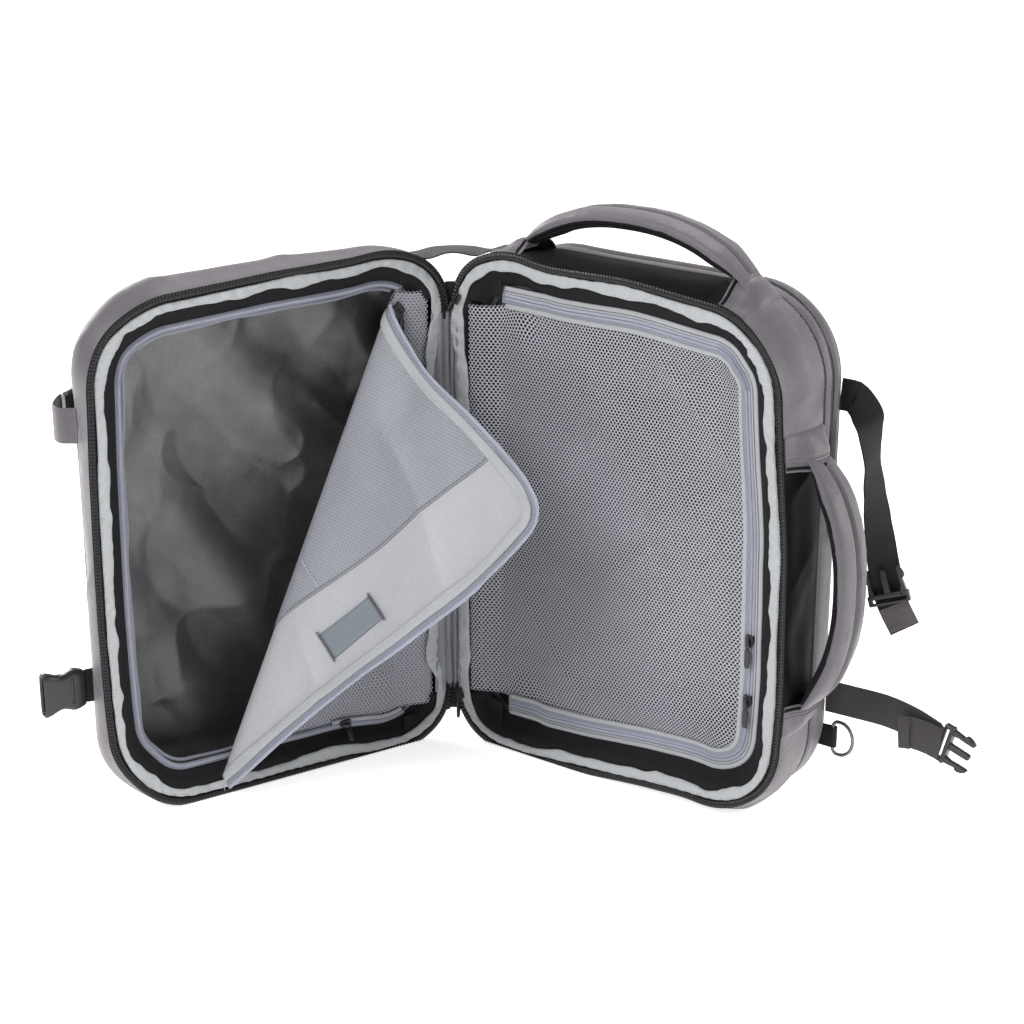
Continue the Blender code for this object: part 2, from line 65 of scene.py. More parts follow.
MM = 0.001
WIDTH, HEIGHT, CORNER, GAP, RIM_Y = 0.332, 0.450, 0.076, 0.002, -0.030
SIDE_HANDLE_UP, TOP_ANCHOR, SIDE_ANCHOR = 0.217, 0.116, 0.119
TURN = math.radians(69.7)
HINGE = np.array([-WIDTH / 2 - GAP, RIM_Y, 0.0])
RUN_V, RUN_H, ARC = HEIGHT - 2 * CORNER, WIDTH - 2 * CORNER, math.pi / 2 * CORNER
LEGS = (RUN_V, ARC, RUN_H, ARC, RUN_V, ARC, RUN_H, ARC)
STARTS = [sum(LEGS[:i]) for i in range(9)]
TOTAL = STARTS[8]
ZIP_FIRST, ZIP_LAST = STARTS[1] + 0.026, TOTAL - 0.026

# ---- camera ----
CAMERA_AT, CAMERA_LOOKS = (1.01077, -1.51542, 0.90145), (-0.56370, 0.75233, -0.34095)
lens = bpy.data.cameras.new("camera")
lens.lens, lens.sensor_width = 80.47, 36
camera = bpy.data.objects.new("camera", lens)
COLLECTION.objects.link(camera)
camera.location = CAMERA_AT
camera.rotation_mode = "QUATERNION"
camera.rotation_quaternion = Vector(CAMERA_LOOKS).to_track_quat("-Z", "Y")
bpy.context.scene.camera = camera


# ---- numbers ----
def ease(x):
    """A smooth step from 0 to 1."""
    x = np.clip(x, 0, 1)
    return x * x * (3 - 2 * x)


def spread(*values):
    """The values as float arrays of one shape."""
    return np.broadcast_arrays(*[np.asarray(value, float) for value in values])


def unit(v):
    """v, or each row of it, at length 1."""
    v = np.asarray(v, float)
    return v / np.linalg.norm(v, axis=-1, keepdims=True)


def squarish(t, wide_by, tall_by):
    """Points round a rounded square: the smaller the powers, the squarer."""
    c, s = np.cos(t), np.sin(t)
    return np.stack([np.sign(c) * np.abs(c) ** wide_by, np.sign(s) * np.abs(s) ** tall_by], 1)


def noise(u, v, wide, seed, around=None):
    """Smooth noise in -1..1 with features about wide metres across; around makes it repeat along u."""
    count = max(4, int(round(around / wide))) if around else 61
    table = np.random.RandomState(seed).uniform(-1, 1, (count, 61))
    x = (u / around * count) if around else u / wide + 31
    y = v / wide + 31
    x, y = np.broadcast_arrays(x, y)
    i, j = np.floor(x).astype(int), np.floor(y).astype(int)
    fx, fy = ease(x - i), ease(y - j)
    near = table[i % count, j % 61] * (1 - fx) + table[(i + 1) % count, j % 61] * fx
    far = table[i % count, (j + 1) % 61] * (1 - fx) + table[(i + 1) % count, (j + 1) % 61] * fx
    return near * (1 - fy) + far * fy


def folds(u, v, wide, seed, around=None):
    """Sharp-topped wrinkles, 0..1."""
    return (1 - np.abs(noise(u, v, wide, seed, around))) ** 3


def turning(directions, count):
    """count directions eased from each given one to the next, evenly in number."""
    given = unit(directions)
    t = np.linspace(0, len(given) - 1, count)
    k = np.minimum(t.astype(int), len(given) - 2)
    part = ease(t - k)[:, None]
    return given[k] * (1 - part) + given[k + 1] * part


def spline(points, count):
    """count points along a smooth curve through the given ones, evenly spaced in length."""
    p = np.array(points, float)
    ends = np.vstack([2 * p[0] - p[1], p, 2 * p[-1] - p[-2]])
    t = np.linspace(0, 1, 17)[:-1, None]
    parts = []
    for k in range(len(p) - 1):
        a, b, c, d = ends[k:k + 4]
        parts.append((2 * b + (c - a) * t + (2 * a - 5 * b + 4 * c - d) * t ** 2
                      + (3 * b - a - 3 * c + d) * t ** 3) / 2)
    fine = np.vstack(parts + [p[-1:]])
    length = np.concatenate([[0], np.cumsum(np.linalg.norm(np.diff(fine, axis=0), axis=1))])
    want = np.linspace(0, length[-1], count)
    return np.stack([np.interp(want, length, fine[:, k]) for k in range(p.shape[1])], 1)


# ---- the rims ----
def rim(s):
    """(across, up, outward normal) at rim lengths s."""
    s = np.asarray(s, float) % TOTAL
    leg = np.clip(np.searchsorted(STARTS, s, side="right") - 1, 0, 7)
    t = s - np.array(STARTS)[leg]
    w, h, r = WIDTH, HEIGHT, CORNER
    first = np.array([180, 180, 90, 90, 0, 0, -90, -90.0])[leg]
    turn = np.radians(first - np.where(leg % 2 == 1, np.degrees(t / r), 0))
    nx, nz = np.cos(turn), np.sin(turn)
    cx = np.array([r, r, r, w - r, w - r, w - r, w - r,
                   r])[leg] + np.where(leg == 2, t, 0) - np.where(leg == 6, t, 0)
    cz = np.array([r, h - r, h - r, h - r, h - r, r, r,
                   r])[leg] + np.where(leg == 0, t, 0) - np.where(leg == 4, t, 0)
    return cx + r * nx, cz + r * nz, nx, nz


def rim_of(a, u):
    """(rim length, inset) of flat points (a, u) of a shell's face."""
    cx, cz = np.clip(a, CORNER, WIDTH - CORNER), np.clip(u, CORNER, HEIGHT - CORNER)
    dx, dz = a - cx, u - cz
    far = np.hypot(dx, dz) + 1e-12
    turn = np.degrees(np.arctan2(dz, dx))
    left, top = a < WIDTH / 2, u > HEIGHT / 2
    s = np.where(left & top, STARTS[1] + np.radians(180 - turn) * CORNER, 0)
    s = np.where(~left & top, STARTS[3] + np.radians(90 - turn) * CORNER, s)
    s = np.where(~left & ~top, STARTS[5] + np.radians(-turn) * CORNER, s)
    s = np.where(left & ~top, STARTS[7] + np.radians(-90 - turn) * CORNER, s)
    flat_x, flat_z = np.abs(dx) < 1e-9, np.abs(dz) < 1e-9
    s = np.where(flat_z & left, u - CORNER, s)
    s = np.where(flat_z & ~left, STARTS[4] + HEIGHT - CORNER - u, s)
    s = np.where(flat_x & top, STARTS[2] + a - CORNER, s)
    s = np.where(flat_x & ~top, STARTS[6] + WIDTH - CORNER - a, s)
    return s, CORNER - far


# how far each cloth rim stands outside (+) or inside (-) its true outline, in mm at rim lengths
LOOSE = {
    "main": [(0, 0), (.27, 1), (.318, 8), (.358, 15), (.398, 7), (.435, -1), (.517, 1), (.60, -7),
             (.664, -12),
             (.738, -7), (.839, 2.5), (.962, 4.5), (1.049, 1), (1.09, -4), (1.145, -9.5), (1.195, -6),
             (1.25, 0),
             (1.30, 3), (1.335, 8), (1.374, 15), (1.41, 7)],
    "front": [(0, 0), (.27, 1), (.318, 7), (.358, 14), (.398, 8), (.435, 3.4), (.501, 2.2), (.56, -1.2),
              (.63, -5),
              (.672, -1), (.712, -2.5), (.782, 0), (.909, 1.5), (.994, -.8), (1.07, -6), (1.12, 0),
              (1.187, .7),
              (1.284, 0), (1.335, 8), (1.374, 15), (1.41, 7)],
}
SWAY_STEPS = 1200
SWAY = {}
for shell, pairs in LOOSE.items():
    at = np.array([p[0] for p in pairs] + [TOTAL + pairs[0][0]])
    by = np.array([p[1] for p in pairs] + [pairs[0][1]]) * MM
    line = np.interp(np.linspace(0, TOTAL, SWAY_STEPS, endpoint=False), at, by)
    kernel = np.hanning(45)
    SWAY[shell] = np.convolve(np.concatenate([line[-60:], line, line[:60]]), kernel / kernel.sum(),
                              "same")[60:-60]


def loose(inset):
    """1 near the rim, where the cloth sways, and 0 well inside it."""
    return 1 - ease((inset - 0.040) / 0.036)


def sway(shell, s):
    """How far the rim stands out from its outline at rim lengths s."""
    return np.interp((np.asarray(s) % TOTAL) / TOTAL * SWAY_STEPS, np.arange(SWAY_STEPS + 1),
                     np.append(SWAY[shell], SWAY[shell][0]))


def at(shell, a, d, u):
    """Row-frame points from a shell's own across, depth and up."""
    a, d, u = np.broadcast_arrays(np.asarray(a, float), d, u)
    if shell == "main":
        return np.stack([-WIDTH / 2 + a, RIM_Y + d, u], -1)
    x, y = -GAP - a, d
    c, s = math.cos(TURN), math.sin(TURN)
    return np.stack([HINGE[0] + c * x - s * y, HINGE[1] + s * x + c * y, u], -1)


def on(shell, s, inset, depth, hold=None):
    """Points at rim lengths s. The rim's sway fades with depth, unless hold says how much of it stays."""
    s, inset, depth = spread(s, inset, depth)
    across, up, nx, nz = rim(s)
    keep = 1 - ease((depth - 0.004) / 0.032) if hold is None else hold
    inside = inset - sway(shell, s) * keep * loose(inset)
    points = at(shell, across - nx * inside, depth, up - nz * inside)
    points[..., 2] = np.maximum(points[..., 2], 0.0004 + 0.35 * np.maximum(inset, 0.0))
    return points


def face(shell, a, u, depth, hold=1.0):
    """Points of a flat panel inside a rim, swaying with it."""
    s, inset = rim_of(a, u)
    nx, nz = rim(s)[2:]
    push = sway(shell, s) * hold * loose(inset)
    return at(shell, a + nx * push, depth, u + nz * push)


def axis(shell, along):
    """A shell's across, depth (into the shell) or up direction."""
    return at(shell, *[1.0 if k == along else 0.0 for k in ("across", "depth", "up")]) - at(shell, 0, 0, 0)


# ---- meshes ----
def shape(name, points, faces, material, uv=None, smooth=True):
    """A mesh object in the scene, from points and faces, smooth unless told otherwise."""
    mesh = bpy.data.meshes.new(name)
    faces = faces if isinstance(faces, list) else faces.tolist()
    mesh.from_pydata(np.asarray(points, float).reshape(-1, 3).tolist(), [], faces)
    mesh.materials.append(material)
    mesh.polygons.foreach_set("use_smooth", [smooth] * len(mesh.polygons))
    if uv is not None:
        layer = mesh.uv_layers.new(name="metres")
        layer.data.foreach_set("uv", np.asarray(uv, np.float32).ravel())
    mesh.validate()
    obj = bpy.data.objects.new(name, mesh)
    COLLECTION.objects.link(obj)
    return obj


def quads(nu, nv, wrap_u=False, wrap_v=False):
    """The faces of a grid of points, and the grid corners that each one joins."""
    i, j = np.meshgrid(np.arange(nu if wrap_u else nu - 1), np.arange(nv if wrap_v else nv - 1),
                       indexing="ij")
    i, j = i.ravel(), j.ravel()
    corners = [(i, j), (i + 1, j), (i + 1, j + 1), (i, j + 1)]
    faces = np.stack([(a % nu) * nv + b % nv for a, b in corners], 1)
    return faces, corners


def lay(name, points, material, wrap_u=False, wrap_v=False, flip=False, thick=0.0):
    """A surface through a grid of points, with its texture coordinates in metres along it."""
    nu, nv = points.shape[:2]
    faces, corners = quads(nu, nv, wrap_u, wrap_v)
    along = np.linalg.norm(np.diff(np.concatenate([points, points[:1]]), axis=0), axis=2).mean(1)
    across = np.linalg.norm(np.diff(np.concatenate([points, points[:, :1]], 1), axis=1), axis=2).mean(0)
    lu, lv = np.concatenate([[0], np.cumsum(along)]), np.concatenate([[0], np.cumsum(across)])
    uv = np.stack([np.stack([lu[a], lv[b]], 1) for a, b in corners], 1)
    if flip:
        faces, uv = faces[:, ::-1], uv[:, ::-1]
    obj = shape(name, points, faces, material, uv)
    if thick:
        solid = obj.modifiers.new("thickness", "SOLIDIFY")
        solid.thickness, solid.offset = thick, 0
    return obj


def sweep(name, path, side, profile, material, wide=1.0, tall=1.0, closed=False):
    """A profile of (across, height) carried along a path. side is the across direction at each point."""
    path, profile = np.asarray(path, float), np.asarray(profile, float)
    if closed:
        tangent = np.roll(path, -1, 0) - np.roll(path, 1, 0)
    else:
        tangent = np.gradient(path, axis=0)
    tangent = unit(tangent)
    side = np.broadcast_to(np.asarray(side, float), path.shape)
    side = unit(side - tangent * (side * tangent).sum(1)[:, None])
    normal = np.cross(tangent, side)
    wide = np.broadcast_to(wide, len(path))
    tall = np.broadcast_to(tall, len(path))
    ring = (path[:, None] + side[:, None] * (profile[None, :, :1] * wide[:, None, None])
            + normal[:, None] * (profile[None, :, 1:] * tall[:, None, None]))
    obj = lay(name, ring, material, wrap_u=closed, wrap_v=True)
    if not closed:
        mesh = obj.data
        count = len(profile)
        ends = [list(range(count))[::-1],
                list(range(len(ring.reshape(-1, 3)) - count, len(ring.reshape(-1, 3))))]
        extra = bpy.data.meshes.new("ends")
        extra.from_pydata([v.co[:] for v in mesh.vertices], [],
                          [list(p.vertices) for p in mesh.polygons] + ends)
        old = [d.uv[:] for d in mesh.uv_layers[0].data]
        new = extra.uv_layers.new(name="metres")
        flat = [c for uv in old for c in uv]
        for end in ends:
            flat += [c for k in end for c in (profile[k % count][0] * wide[0],
                                              profile[k % count][1] * tall[0])]
        new.data.foreach_set("uv", flat)
        extra.materials.append(material)
        extra.polygons.foreach_set("use_smooth", [True] * len(mesh.polygons) + [False, False])
        obj.data = extra
        bpy.data.meshes.remove(mesh)
    return obj


def circle(count, rx=1.0, ry=1.0):
    """Points round an ellipse."""
    t = np.arange(count) / count * 2 * math.pi
    return np.stack([np.cos(t) * rx, np.sin(t) * ry], 1)


def pill(width, height, round_by=None):
    """A flat bar's outline with round edges, as (across, height)."""
    r = min(round_by or height / 2, height / 2, width / 2)
    t = np.linspace(0, math.pi / 2, 5)
    out = []
    for cx, cy, first in ((1, 1, 0), (-1, 1, 1), (-1, -1, 2), (1, -1, 3)):
        turn = t + first * math.pi / 2
        out.append(np.stack([cx * (width / 2 - r) + r * np.cos(turn),
                             cy * (height / 2 - r) + r * np.sin(turn)], 1))
    return np.vstack(out)


def seeds(name, points, along, out, length, radius, material):
    """Many small pointed bars, such as stitches: one at each point, lying along it."""
    points, along = np.asarray(points, float), unit(along)
    out = np.broadcast_to(np.asarray(out, float), points.shape)
    out = unit(out - along * (out * along).sum(1)[:, None])
    side = np.cross(along, out)
    h, r = length / 2, radius
    offsets = [(-h, 0, -r * .6), (-h * .55, r, 0), (-h * .55, 0, r), (-h * .55, -r, 0), (-h * .55, 0, -r),
               (h * .55, r, 0), (h * .55, 0, r), (h * .55, -r, 0), (h * .55, 0, -r), (h, 0, -r * .6)]
    verts = np.stack([points + along * a + side * b + out * c for a, b, c in offsets], 1)
    base = [(0, 1, 2), (0, 2, 3), (0, 3, 4), (0, 4, 1), (9, 6, 5), (9, 7, 6), (9, 8, 7), (9, 5, 8)]
    body = [(1, 5, 6, 2), (2, 6, 7, 3), (3, 7, 8, 4), (4, 8, 5, 1)]
    faces = [[v + 10 * k for v in f] for k in range(len(points)) for f in base + body]
    return shape(name, verts, faces, material)


def seam(name, where, first, last, material, out, pitch=0.0034, length=0.0024, radius=0.00038):
    """A row of stitches along where(s) from first to last."""
    s = np.arange(first, last, pitch)
    points = where(s)
    along = where(s + 0.0005) - where(s - 0.0005)
    return seeds(name, points, along, out(s) if callable(out) else out, length, radius, material)


def keep(obj, body, *nodes, slot=None):
    """Puts a finished piece on its body and hides the CAD nodes it stands for."""
    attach(obj, body)
    if nodes:
        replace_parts(obj, *nodes)
    return obj


# ---- materials ----
def wire(tree, source, target):
    tree.links.new(source, target)


def maths(tree, kind, a, b=0.5):
    """A maths node of two numbers or sockets."""
    made = tree.nodes.new("ShaderNodeMath")
    made.operation = kind
    for socket, value in zip(made.inputs, (a, b)):
        if isinstance(value, (int, float)):
            socket.default_value = value
        else:
            wire(tree, value, socket)
    return made.outputs[0]


def mixed(tree, factor, a, b):
    """Two colours mixed by a factor; each is a number, a tuple or a socket."""
    made = tree.nodes.new("ShaderNodeMix")
    made.data_type = "RGBA"
    for socket, value in ((made.inputs[0], factor), (made.inputs[6], a), (made.inputs[7], b)):
        if isinstance(value, (int, float)):
            socket.default_value = value
        elif isinstance(value, tuple):
            socket.default_value = (*value, 1)
        else:
            wire(tree, value, socket)
    return made.outputs[2]


def scaled(colour, by):
    return tuple(min(1.0, c * by) for c in colour)


def texture(tree, kind, vector, **values):
    """A texture node with the given inputs or settings; its factor."""
    made = tree.nodes.new(kind)
    if vector is not None:
        wire(tree, vector, made.inputs["Vector"])
    for key, value in values.items():
        if key in made.inputs:
            made.inputs[key].default_value = value
        else:
            setattr(made, key, value)
    return made.outputs.get("Fac") or made.outputs[0]


def bands(tree, vector, along, pitch):
    """Even waves along one axis, pitch metres apart."""
    return texture(tree, "ShaderNodeTexWave", vector, wave_type="BANDS", bands_direction=along,
                   wave_profile="SIN", Scale=0.31416 / pitch)


def cloth(name, colour, coords="UV", pitch=0.0007, contrast=0.3, rough=0.75, sheen=0.2, tint=(1, 1, 1),
          grid=0.0,
          grid_by=1.3, ribs=0.0, creases=0.25, blotch=0.12, spec=0.35, painted_highlight=None, wear=0.0, painted_light_at=None,
          crumple=(42, 5, 0.6)):
    """Where a second colour is given it is a painted highlight, and the placing (by x, by y, by z, by noise,
    plus) says where that painted light comes in over the piece.
    crumple is the creases' (scale, detail, distortion)."""
    made = bpy.data.materials.new(name)
    made.use_nodes = True
    tree = made.node_tree
    shader = tree.nodes["Principled BSDF"]
    source = tree.nodes.new("ShaderNodeTexCoord").outputs[coords]
    solid = tree.nodes.new("ShaderNodeTexCoord").outputs["Object"]
    weave = maths(tree, "MULTIPLY", bands(tree, source, "X", pitch), bands(tree, source, "Y", pitch))
    if coords == "Object":
        weave = maths(tree, "MAXIMUM", weave, maths(tree, "MULTIPLY", bands(tree, source, "Z", pitch),
                                                  bands(tree, source, "X", pitch)))
    broad = texture(tree, "ShaderNodeTexNoise", solid, Scale=16, Detail=4, Roughness=0.6)
    fine = texture(tree, "ShaderNodeTexNoise", solid, Scale=900, Detail=2)
    # the lighter tone is the given painted highlight colour when there is one, else a random lighter tone of
    # the cloth
    dark, light = scaled(colour, 1 - blotch), painted_highlight or scaled(colour, 1 + blotch)
    level = broad
    if painted_light_at:
        parts = tree.nodes.new("ShaderNodeSeparateXYZ")
        wire(tree, solid, parts.inputs[0])
        level = maths(tree, "MULTIPLY_ADD", broad, painted_light_at[3])
        tree.nodes[-1].inputs[2].default_value = painted_light_at[4]
        for letter, by in zip("XYZ", painted_light_at):
            level = maths(tree, "ADD", level, maths(tree, "MULTIPLY", parts.outputs[letter], by))
        level = maths(tree, "MINIMUM", maths(tree, "MAXIMUM", level, 0.0), 1.0)
    tone = mixed(tree, level, dark, light)
    threads = maths(tree, "MULTIPLY_ADD", weave, contrast)
    tree.nodes[-1].inputs[2].default_value = 1 - contrast * 0.5
    tone = mixed(tree, maths(tree, "MULTIPLY", threads, fine), scaled(dark, 0.72), tone)
    if contrast:
        tone = mixed(tree, maths(tree, "MULTIPLY", maths(tree, "SUBTRACT", 1.0, weave), contrast), tone,
                     scaled(colour, 0.6))
    height = maths(tree, "MULTIPLY", weave, 0.5)
    if grid:
        lines = maths(tree, "MAXIMUM", bands(tree, source, "X", grid), bands(tree, source, "Y", grid))
        lines = maths(tree, "GREATER_THAN", lines, 0.93)
        tone = mixed(tree, maths(tree, "MULTIPLY", lines, 0.6), tone, scaled(colour, grid_by))
        height = maths(tree, "ADD", height, lines)
    if ribs:
        rows = bands(tree, source, "X", ribs)
        tone = mixed(tree, maths(tree, "MULTIPLY", maths(tree, "SUBTRACT", 1.0, rows), 0.55), tone,
                     scaled(colour, 0.45))
        height = maths(tree, "ADD", height, maths(tree, "MULTIPLY", rows, 2.0))
    if wear:
        point = tree.nodes.new("ShaderNodeNewGeometry").outputs["Pointiness"]
        edge = maths(tree, "GREATER_THAN", point, 0.53)
        tone = mixed(tree, maths(tree, "MULTIPLY", edge, wear), tone, scaled(colour, 1.8))
    wire(tree, tone, shader.inputs["Base Color"])
    height = maths(tree, "ADD", height, maths(tree, "MULTIPLY", fine, 0.6))
    bump = tree.nodes.new("ShaderNodeBump")
    bump.inputs["Strength"].default_value = 0.5
    bump.inputs["Distance"].default_value = 0.00018
    wire(tree, height, bump.inputs["Height"])
    crushed = texture(tree, "ShaderNodeTexNoise", solid, Scale=crumple[0], Detail=crumple[1], Roughness=0.55,
                      Distortion=crumple[2])
    wide = tree.nodes.new("ShaderNodeBump")
    wide.inputs["Strength"].default_value = creases
    wide.inputs["Distance"].default_value = 0.0035
    wire(tree, crushed, wide.inputs["Height"])
    wire(tree, bump.outputs[0], wide.inputs["Normal"])
    wire(tree, wide.outputs[0], shader.inputs["Normal"])
    gloss = maths(tree, "MULTIPLY_ADD", broad, 0.16)
    tree.nodes[-1].inputs[2].default_value = rough - 0.08
    wire(tree, gloss, shader.inputs["Roughness"])
    shader.inputs["Sheen Weight"].default_value = sheen
    shader.inputs["Sheen Roughness"].default_value = 0.45
    shader.inputs["Sheen Tint"].default_value = (*tint, 1)
    shader.inputs["Specular IOR Level"].default_value = spec
    return made


def hard(name, colour, rough=0.4, metal=0.0, grain=1400, spec=0.5):
    """A moulded, metal or thread material with fine grain."""
    made = bpy.data.materials.new(name)
    made.use_nodes = True
    tree = made.node_tree
    shader = tree.nodes["Principled BSDF"]
    solid = tree.nodes.new("ShaderNodeTexCoord").outputs["Object"]
    broad = texture(tree, "ShaderNodeTexNoise", solid, Scale=60, Detail=4)
    fine = texture(tree, "ShaderNodeTexNoise", solid, Scale=grain, Detail=2)
    wire(tree, mixed(tree, broad, scaled(colour, 0.85), scaled(colour, 1.15)), shader.inputs["Base Color"])
    gloss = maths(tree, "MULTIPLY_ADD", maths(tree, "MULTIPLY", broad, fine), 0.25)
    tree.nodes[-1].inputs[2].default_value = rough - 0.05
    wire(tree, gloss, shader.inputs["Roughness"])
    bump = tree.nodes.new("ShaderNodeBump")
    bump.inputs["Strength"].default_value = 0.35
    bump.inputs["Distance"].default_value = 0.00006
    wire(tree, fine, bump.inputs["Height"])
    wire(tree, bump.outputs[0], shader.inputs["Normal"])
    shader.inputs["Metallic"].default_value = metal
    shader.inputs["Specular IOR Level"].default_value = spec
    return made


SHELL = cloth("shell_cloth", (0.128, 0.117, 0.132), rough=0.50, sheen=0.30, tint=(0.86, 0.78, 0.84),
              contrast=0.22,
              creases=0.42, blotch=0.20, wear=0.1, spec=0.50)
# darker cloth for the bays under the handles: partly the cloth's own dark tone, partly painted shade under
# the handles; the lighter colour coming in towards the top is a painted highlight
DARK_BAY_AND_SHADE = cloth("handle_bay_cloth_and_painted_shade", (0.014, 0.013, 0.015), rough=0.60, sheen=0.0, contrast=0.2, creases=0.45,
            spec=0.06,
            painted_highlight=(0.040, 0.037, 0.041), painted_light_at=(0, 0, 6, 3.0, -3.6), crumple=(18, 2, 0.3))
FACING = cloth("facing_cloth", (0.017, 0.016, 0.018), rough=0.75, sheen=0.0, contrast=0.25, creases=0.4,
               spec=0.12)
# the much lighter second colour, brought in towards the top and the front, is a painted satin highlight
LINING = cloth("lining_ripstop", (0.032, 0.031, 0.034), rough=0.36, sheen=0.30, tint=(0.95, 0.90, 0.88),
               contrast=0.12,
               grid=0.0027, grid_by=2.2, creases=0.35, spec=0.9, painted_highlight=(0.33, 0.315, 0.32),
               crumple=(22, 2, 0.4),
               painted_light_at=(0, -2.8, 2.6, 2.2, -2.15))
# the lighter second colour, brought in towards the right (+x), is a painted sheen highlight on the dark
# lining
NET_BACK = cloth("lining_behind_net", (0.030, 0.030, 0.034), rough=0.40, sheen=0.30, contrast=0.12,
                 creases=0.30, spec=0.8,
                 painted_highlight=(0.17, 0.17, 0.185), crumple=(22, 2, 0.4), painted_light_at=(1.6, 0, 0, 2.0, -0.70))
BINDING = cloth("binding_tape", (0.49, 0.505, 0.515), rough=0.7, sheen=0.1, contrast=0.14, creases=0.95,
                blotch=0.16)
STRIP = cloth("spine_strip_cloth", (0.27, 0.275, 0.30), rough=0.6, contrast=0.12, creases=0.6, blotch=0.25)
NET = cloth("net_yarn", (0.54, 0.545, 0.605), rough=0.6, contrast=0.1, pitch=0.0004, creases=0.0, blotch=0.24)
NET_DARK = cloth("spacer_mesh", (0.014, 0.013, 0.015), rough=0.8, sheen=0.0, contrast=0.7, pitch=0.0016,
                 creases=0.1,
                 spec=0.1)
FLAP = cloth("flap_cloth", (0.46, 0.465, 0.485), rough=0.45, sheen=0.1, contrast=0.08, creases=0.55,
             blotch=0.12,
             spec=0.5, crumple=(26, 3, 0.8))
FLAP_RIPSTOP = cloth("flap_ripstop", (0.265, 0.272, 0.305), rough=0.45, sheen=0.1, contrast=0.1, grid=0.0027,
                     grid_by=1.45, creases=0.55, blotch=0.16, spec=0.5, crumple=(24, 3, 0.8))
BAND = cloth("edge_band_cloth", (0.44, 0.45, 0.47), rough=0.6, contrast=0.12, creases=0.5, blotch=0.12)
LABEL = cloth("label_cloth", (0.215, 0.245, 0.275), rough=0.5, contrast=0.1, pitch=0.0004, creases=0.1)
TAPE_GREY = cloth("zip_tape_grey", (0.27, 0.282, 0.335), rough=0.6, contrast=0.25, pitch=0.0009, creases=0.05)
TAPE_BLACK = cloth("zip_tape_black", (0.010, 0.0095, 0.011), rough=0.75, sheen=0.0, contrast=0.3,
                   pitch=0.0009, creases=0.05,
                   spec=0.1)
WEBBING = cloth("webbing_rib", (0.054, 0.047, 0.051), rough=0.6, sheen=0.12, contrast=0.3, pitch=0.0009,
                ribs=0.0021, creases=0.05)
WEBBING_DARK = cloth("webbing_black", (0.012, 0.0115, 0.013), rough=0.65, sheen=0.03, contrast=0.3,
                     pitch=0.0009,
                     ribs=0.0021, creases=0.05, spec=0.25)
WEBBING_TAIL = cloth("webbing_tail", (0.16, 0.14, 0.15), rough=0.6, sheen=0.12, contrast=0.3, pitch=0.0009,
                     ribs=0.0021, creases=0.05)
FOAM = cloth("back_air_mesh", (0.085, 0.080, 0.090), coords="Object", rough=0.82, contrast=0.55, pitch=0.0030,
             creases=0.12)
FOAM_EDGE = cloth("back_edge_cloth", (0.10, 0.095, 0.105), rough=0.75, contrast=0.25, creases=0.2)
THREAD = hard("thread_dark", (0.12, 0.11, 0.125), rough=0.6, grain=2600)
THREAD_LIGHT = hard("thread_light", (0.55, 0.56, 0.60), rough=0.6, grain=2600)
COIL_BLACK = hard("coil_black_nylon", (0.012, 0.011, 0.013), rough=0.30, spec=0.34)
COIL_GREY = hard("coil_grey_nylon", (0.31, 0.325, 0.40), rough=0.4, spec=0.6)
PLASTIC = hard("black_plastic", (0.012, 0.0115, 0.013), rough=0.34, spec=0.55)
METAL = hard("bronzed_wire", (0.20, 0.18, 0.18), rough=0.32, metal=1.0, spec=0.5)
SLIDER_METAL = hard("painted_slider", (0.05, 0.048, 0.052), rough=0.34, metal=0.6)


# ---- outer cloth of the main shell ----
def swept(name, shell, s, profile, count, material, body, nodes=(), wrinkle=None, wrap=True,
          floor=True, slot=None, hold=None, thick=0.0):
    """A surface that follows the rim. profile is (inset, depth) in mm, wrinkle(s, t, depth) goes outward."""
    line = spline(profile, count) * MM
    t = np.linspace(0, 1, count)
    inset, depth = line[None, :, 0], line[None, :, 1]
    push = 0 if wrinkle is None else wrinkle(s[:, None], t[None, :], depth)
    points = on(shell, s[:, None], inset - push, depth, hold)
    if floor:
        points[..., 2] = np.maximum(points[..., 2], 0.0003)
    obj = lay(name, points, material, wrap_u=wrap, thick=thick)
    return keep(obj, body, *nodes, slot=slot)


RING = np.arange(0, TOTAL, 0.0030)


def corner(s):
    """1 at the middle of the nearest rounded corner, 0 away from it."""
    s = np.asarray(s) % TOTAL
    near = np.min([np.abs(s - (STARTS[k] + ARC / 2)) for k in (1, 3, 5, 7)], axis=0)
    return 1 - ease(near / 0.05)


TOP_MID = STARTS[2] + RUN_H / 2
SIDE_MID = STARTS[4] + (HEIGHT - CORNER - SIDE_HANDLE_UP)
PATCHES = [TOP_MID - TOP_ANCHOR, TOP_MID + TOP_ANCHOR, SIDE_MID - SIDE_ANCHOR, SIDE_MID + SIDE_ANCHOR]


def quiet(s):
    """0 under the four sewn handle patches, 1 away from them."""
    return ease((np.min([np.abs(s % TOTAL - k) for k in PATCHES], axis=0) - 0.018) / 0.014)


def main_wrinkle(s, t, depth):
    """How far the main shell's cloth stands out at rim length s and depth."""
    band = np.sin(np.clip((depth - 0.003) / 0.055, 0, 1) * math.pi)
    soft = noise(s, depth, 0.075, 3, TOTAL) * 0.0026 + noise(s, depth * 1.6, 0.032, 4, TOTAL) * 0.0011
    ridges = (folds(s + depth * 0.9, depth * 0.5, 0.060, 5, TOTAL) - 0.3) * 0.0034
    gather = np.cos(s / 0.0075 * 2 * math.pi + 6 * noise(s, depth, 0.05, 6, TOTAL)) * 0.00035
    near_seam = np.exp(-((depth - 0.058) / 0.009) ** 2) + np.exp(-((depth - 0.004) / 0.006) ** 2)
    return (band * (soft + ridges) + gather * near_seam * (0.4 + corner(s))) * quiet(s)


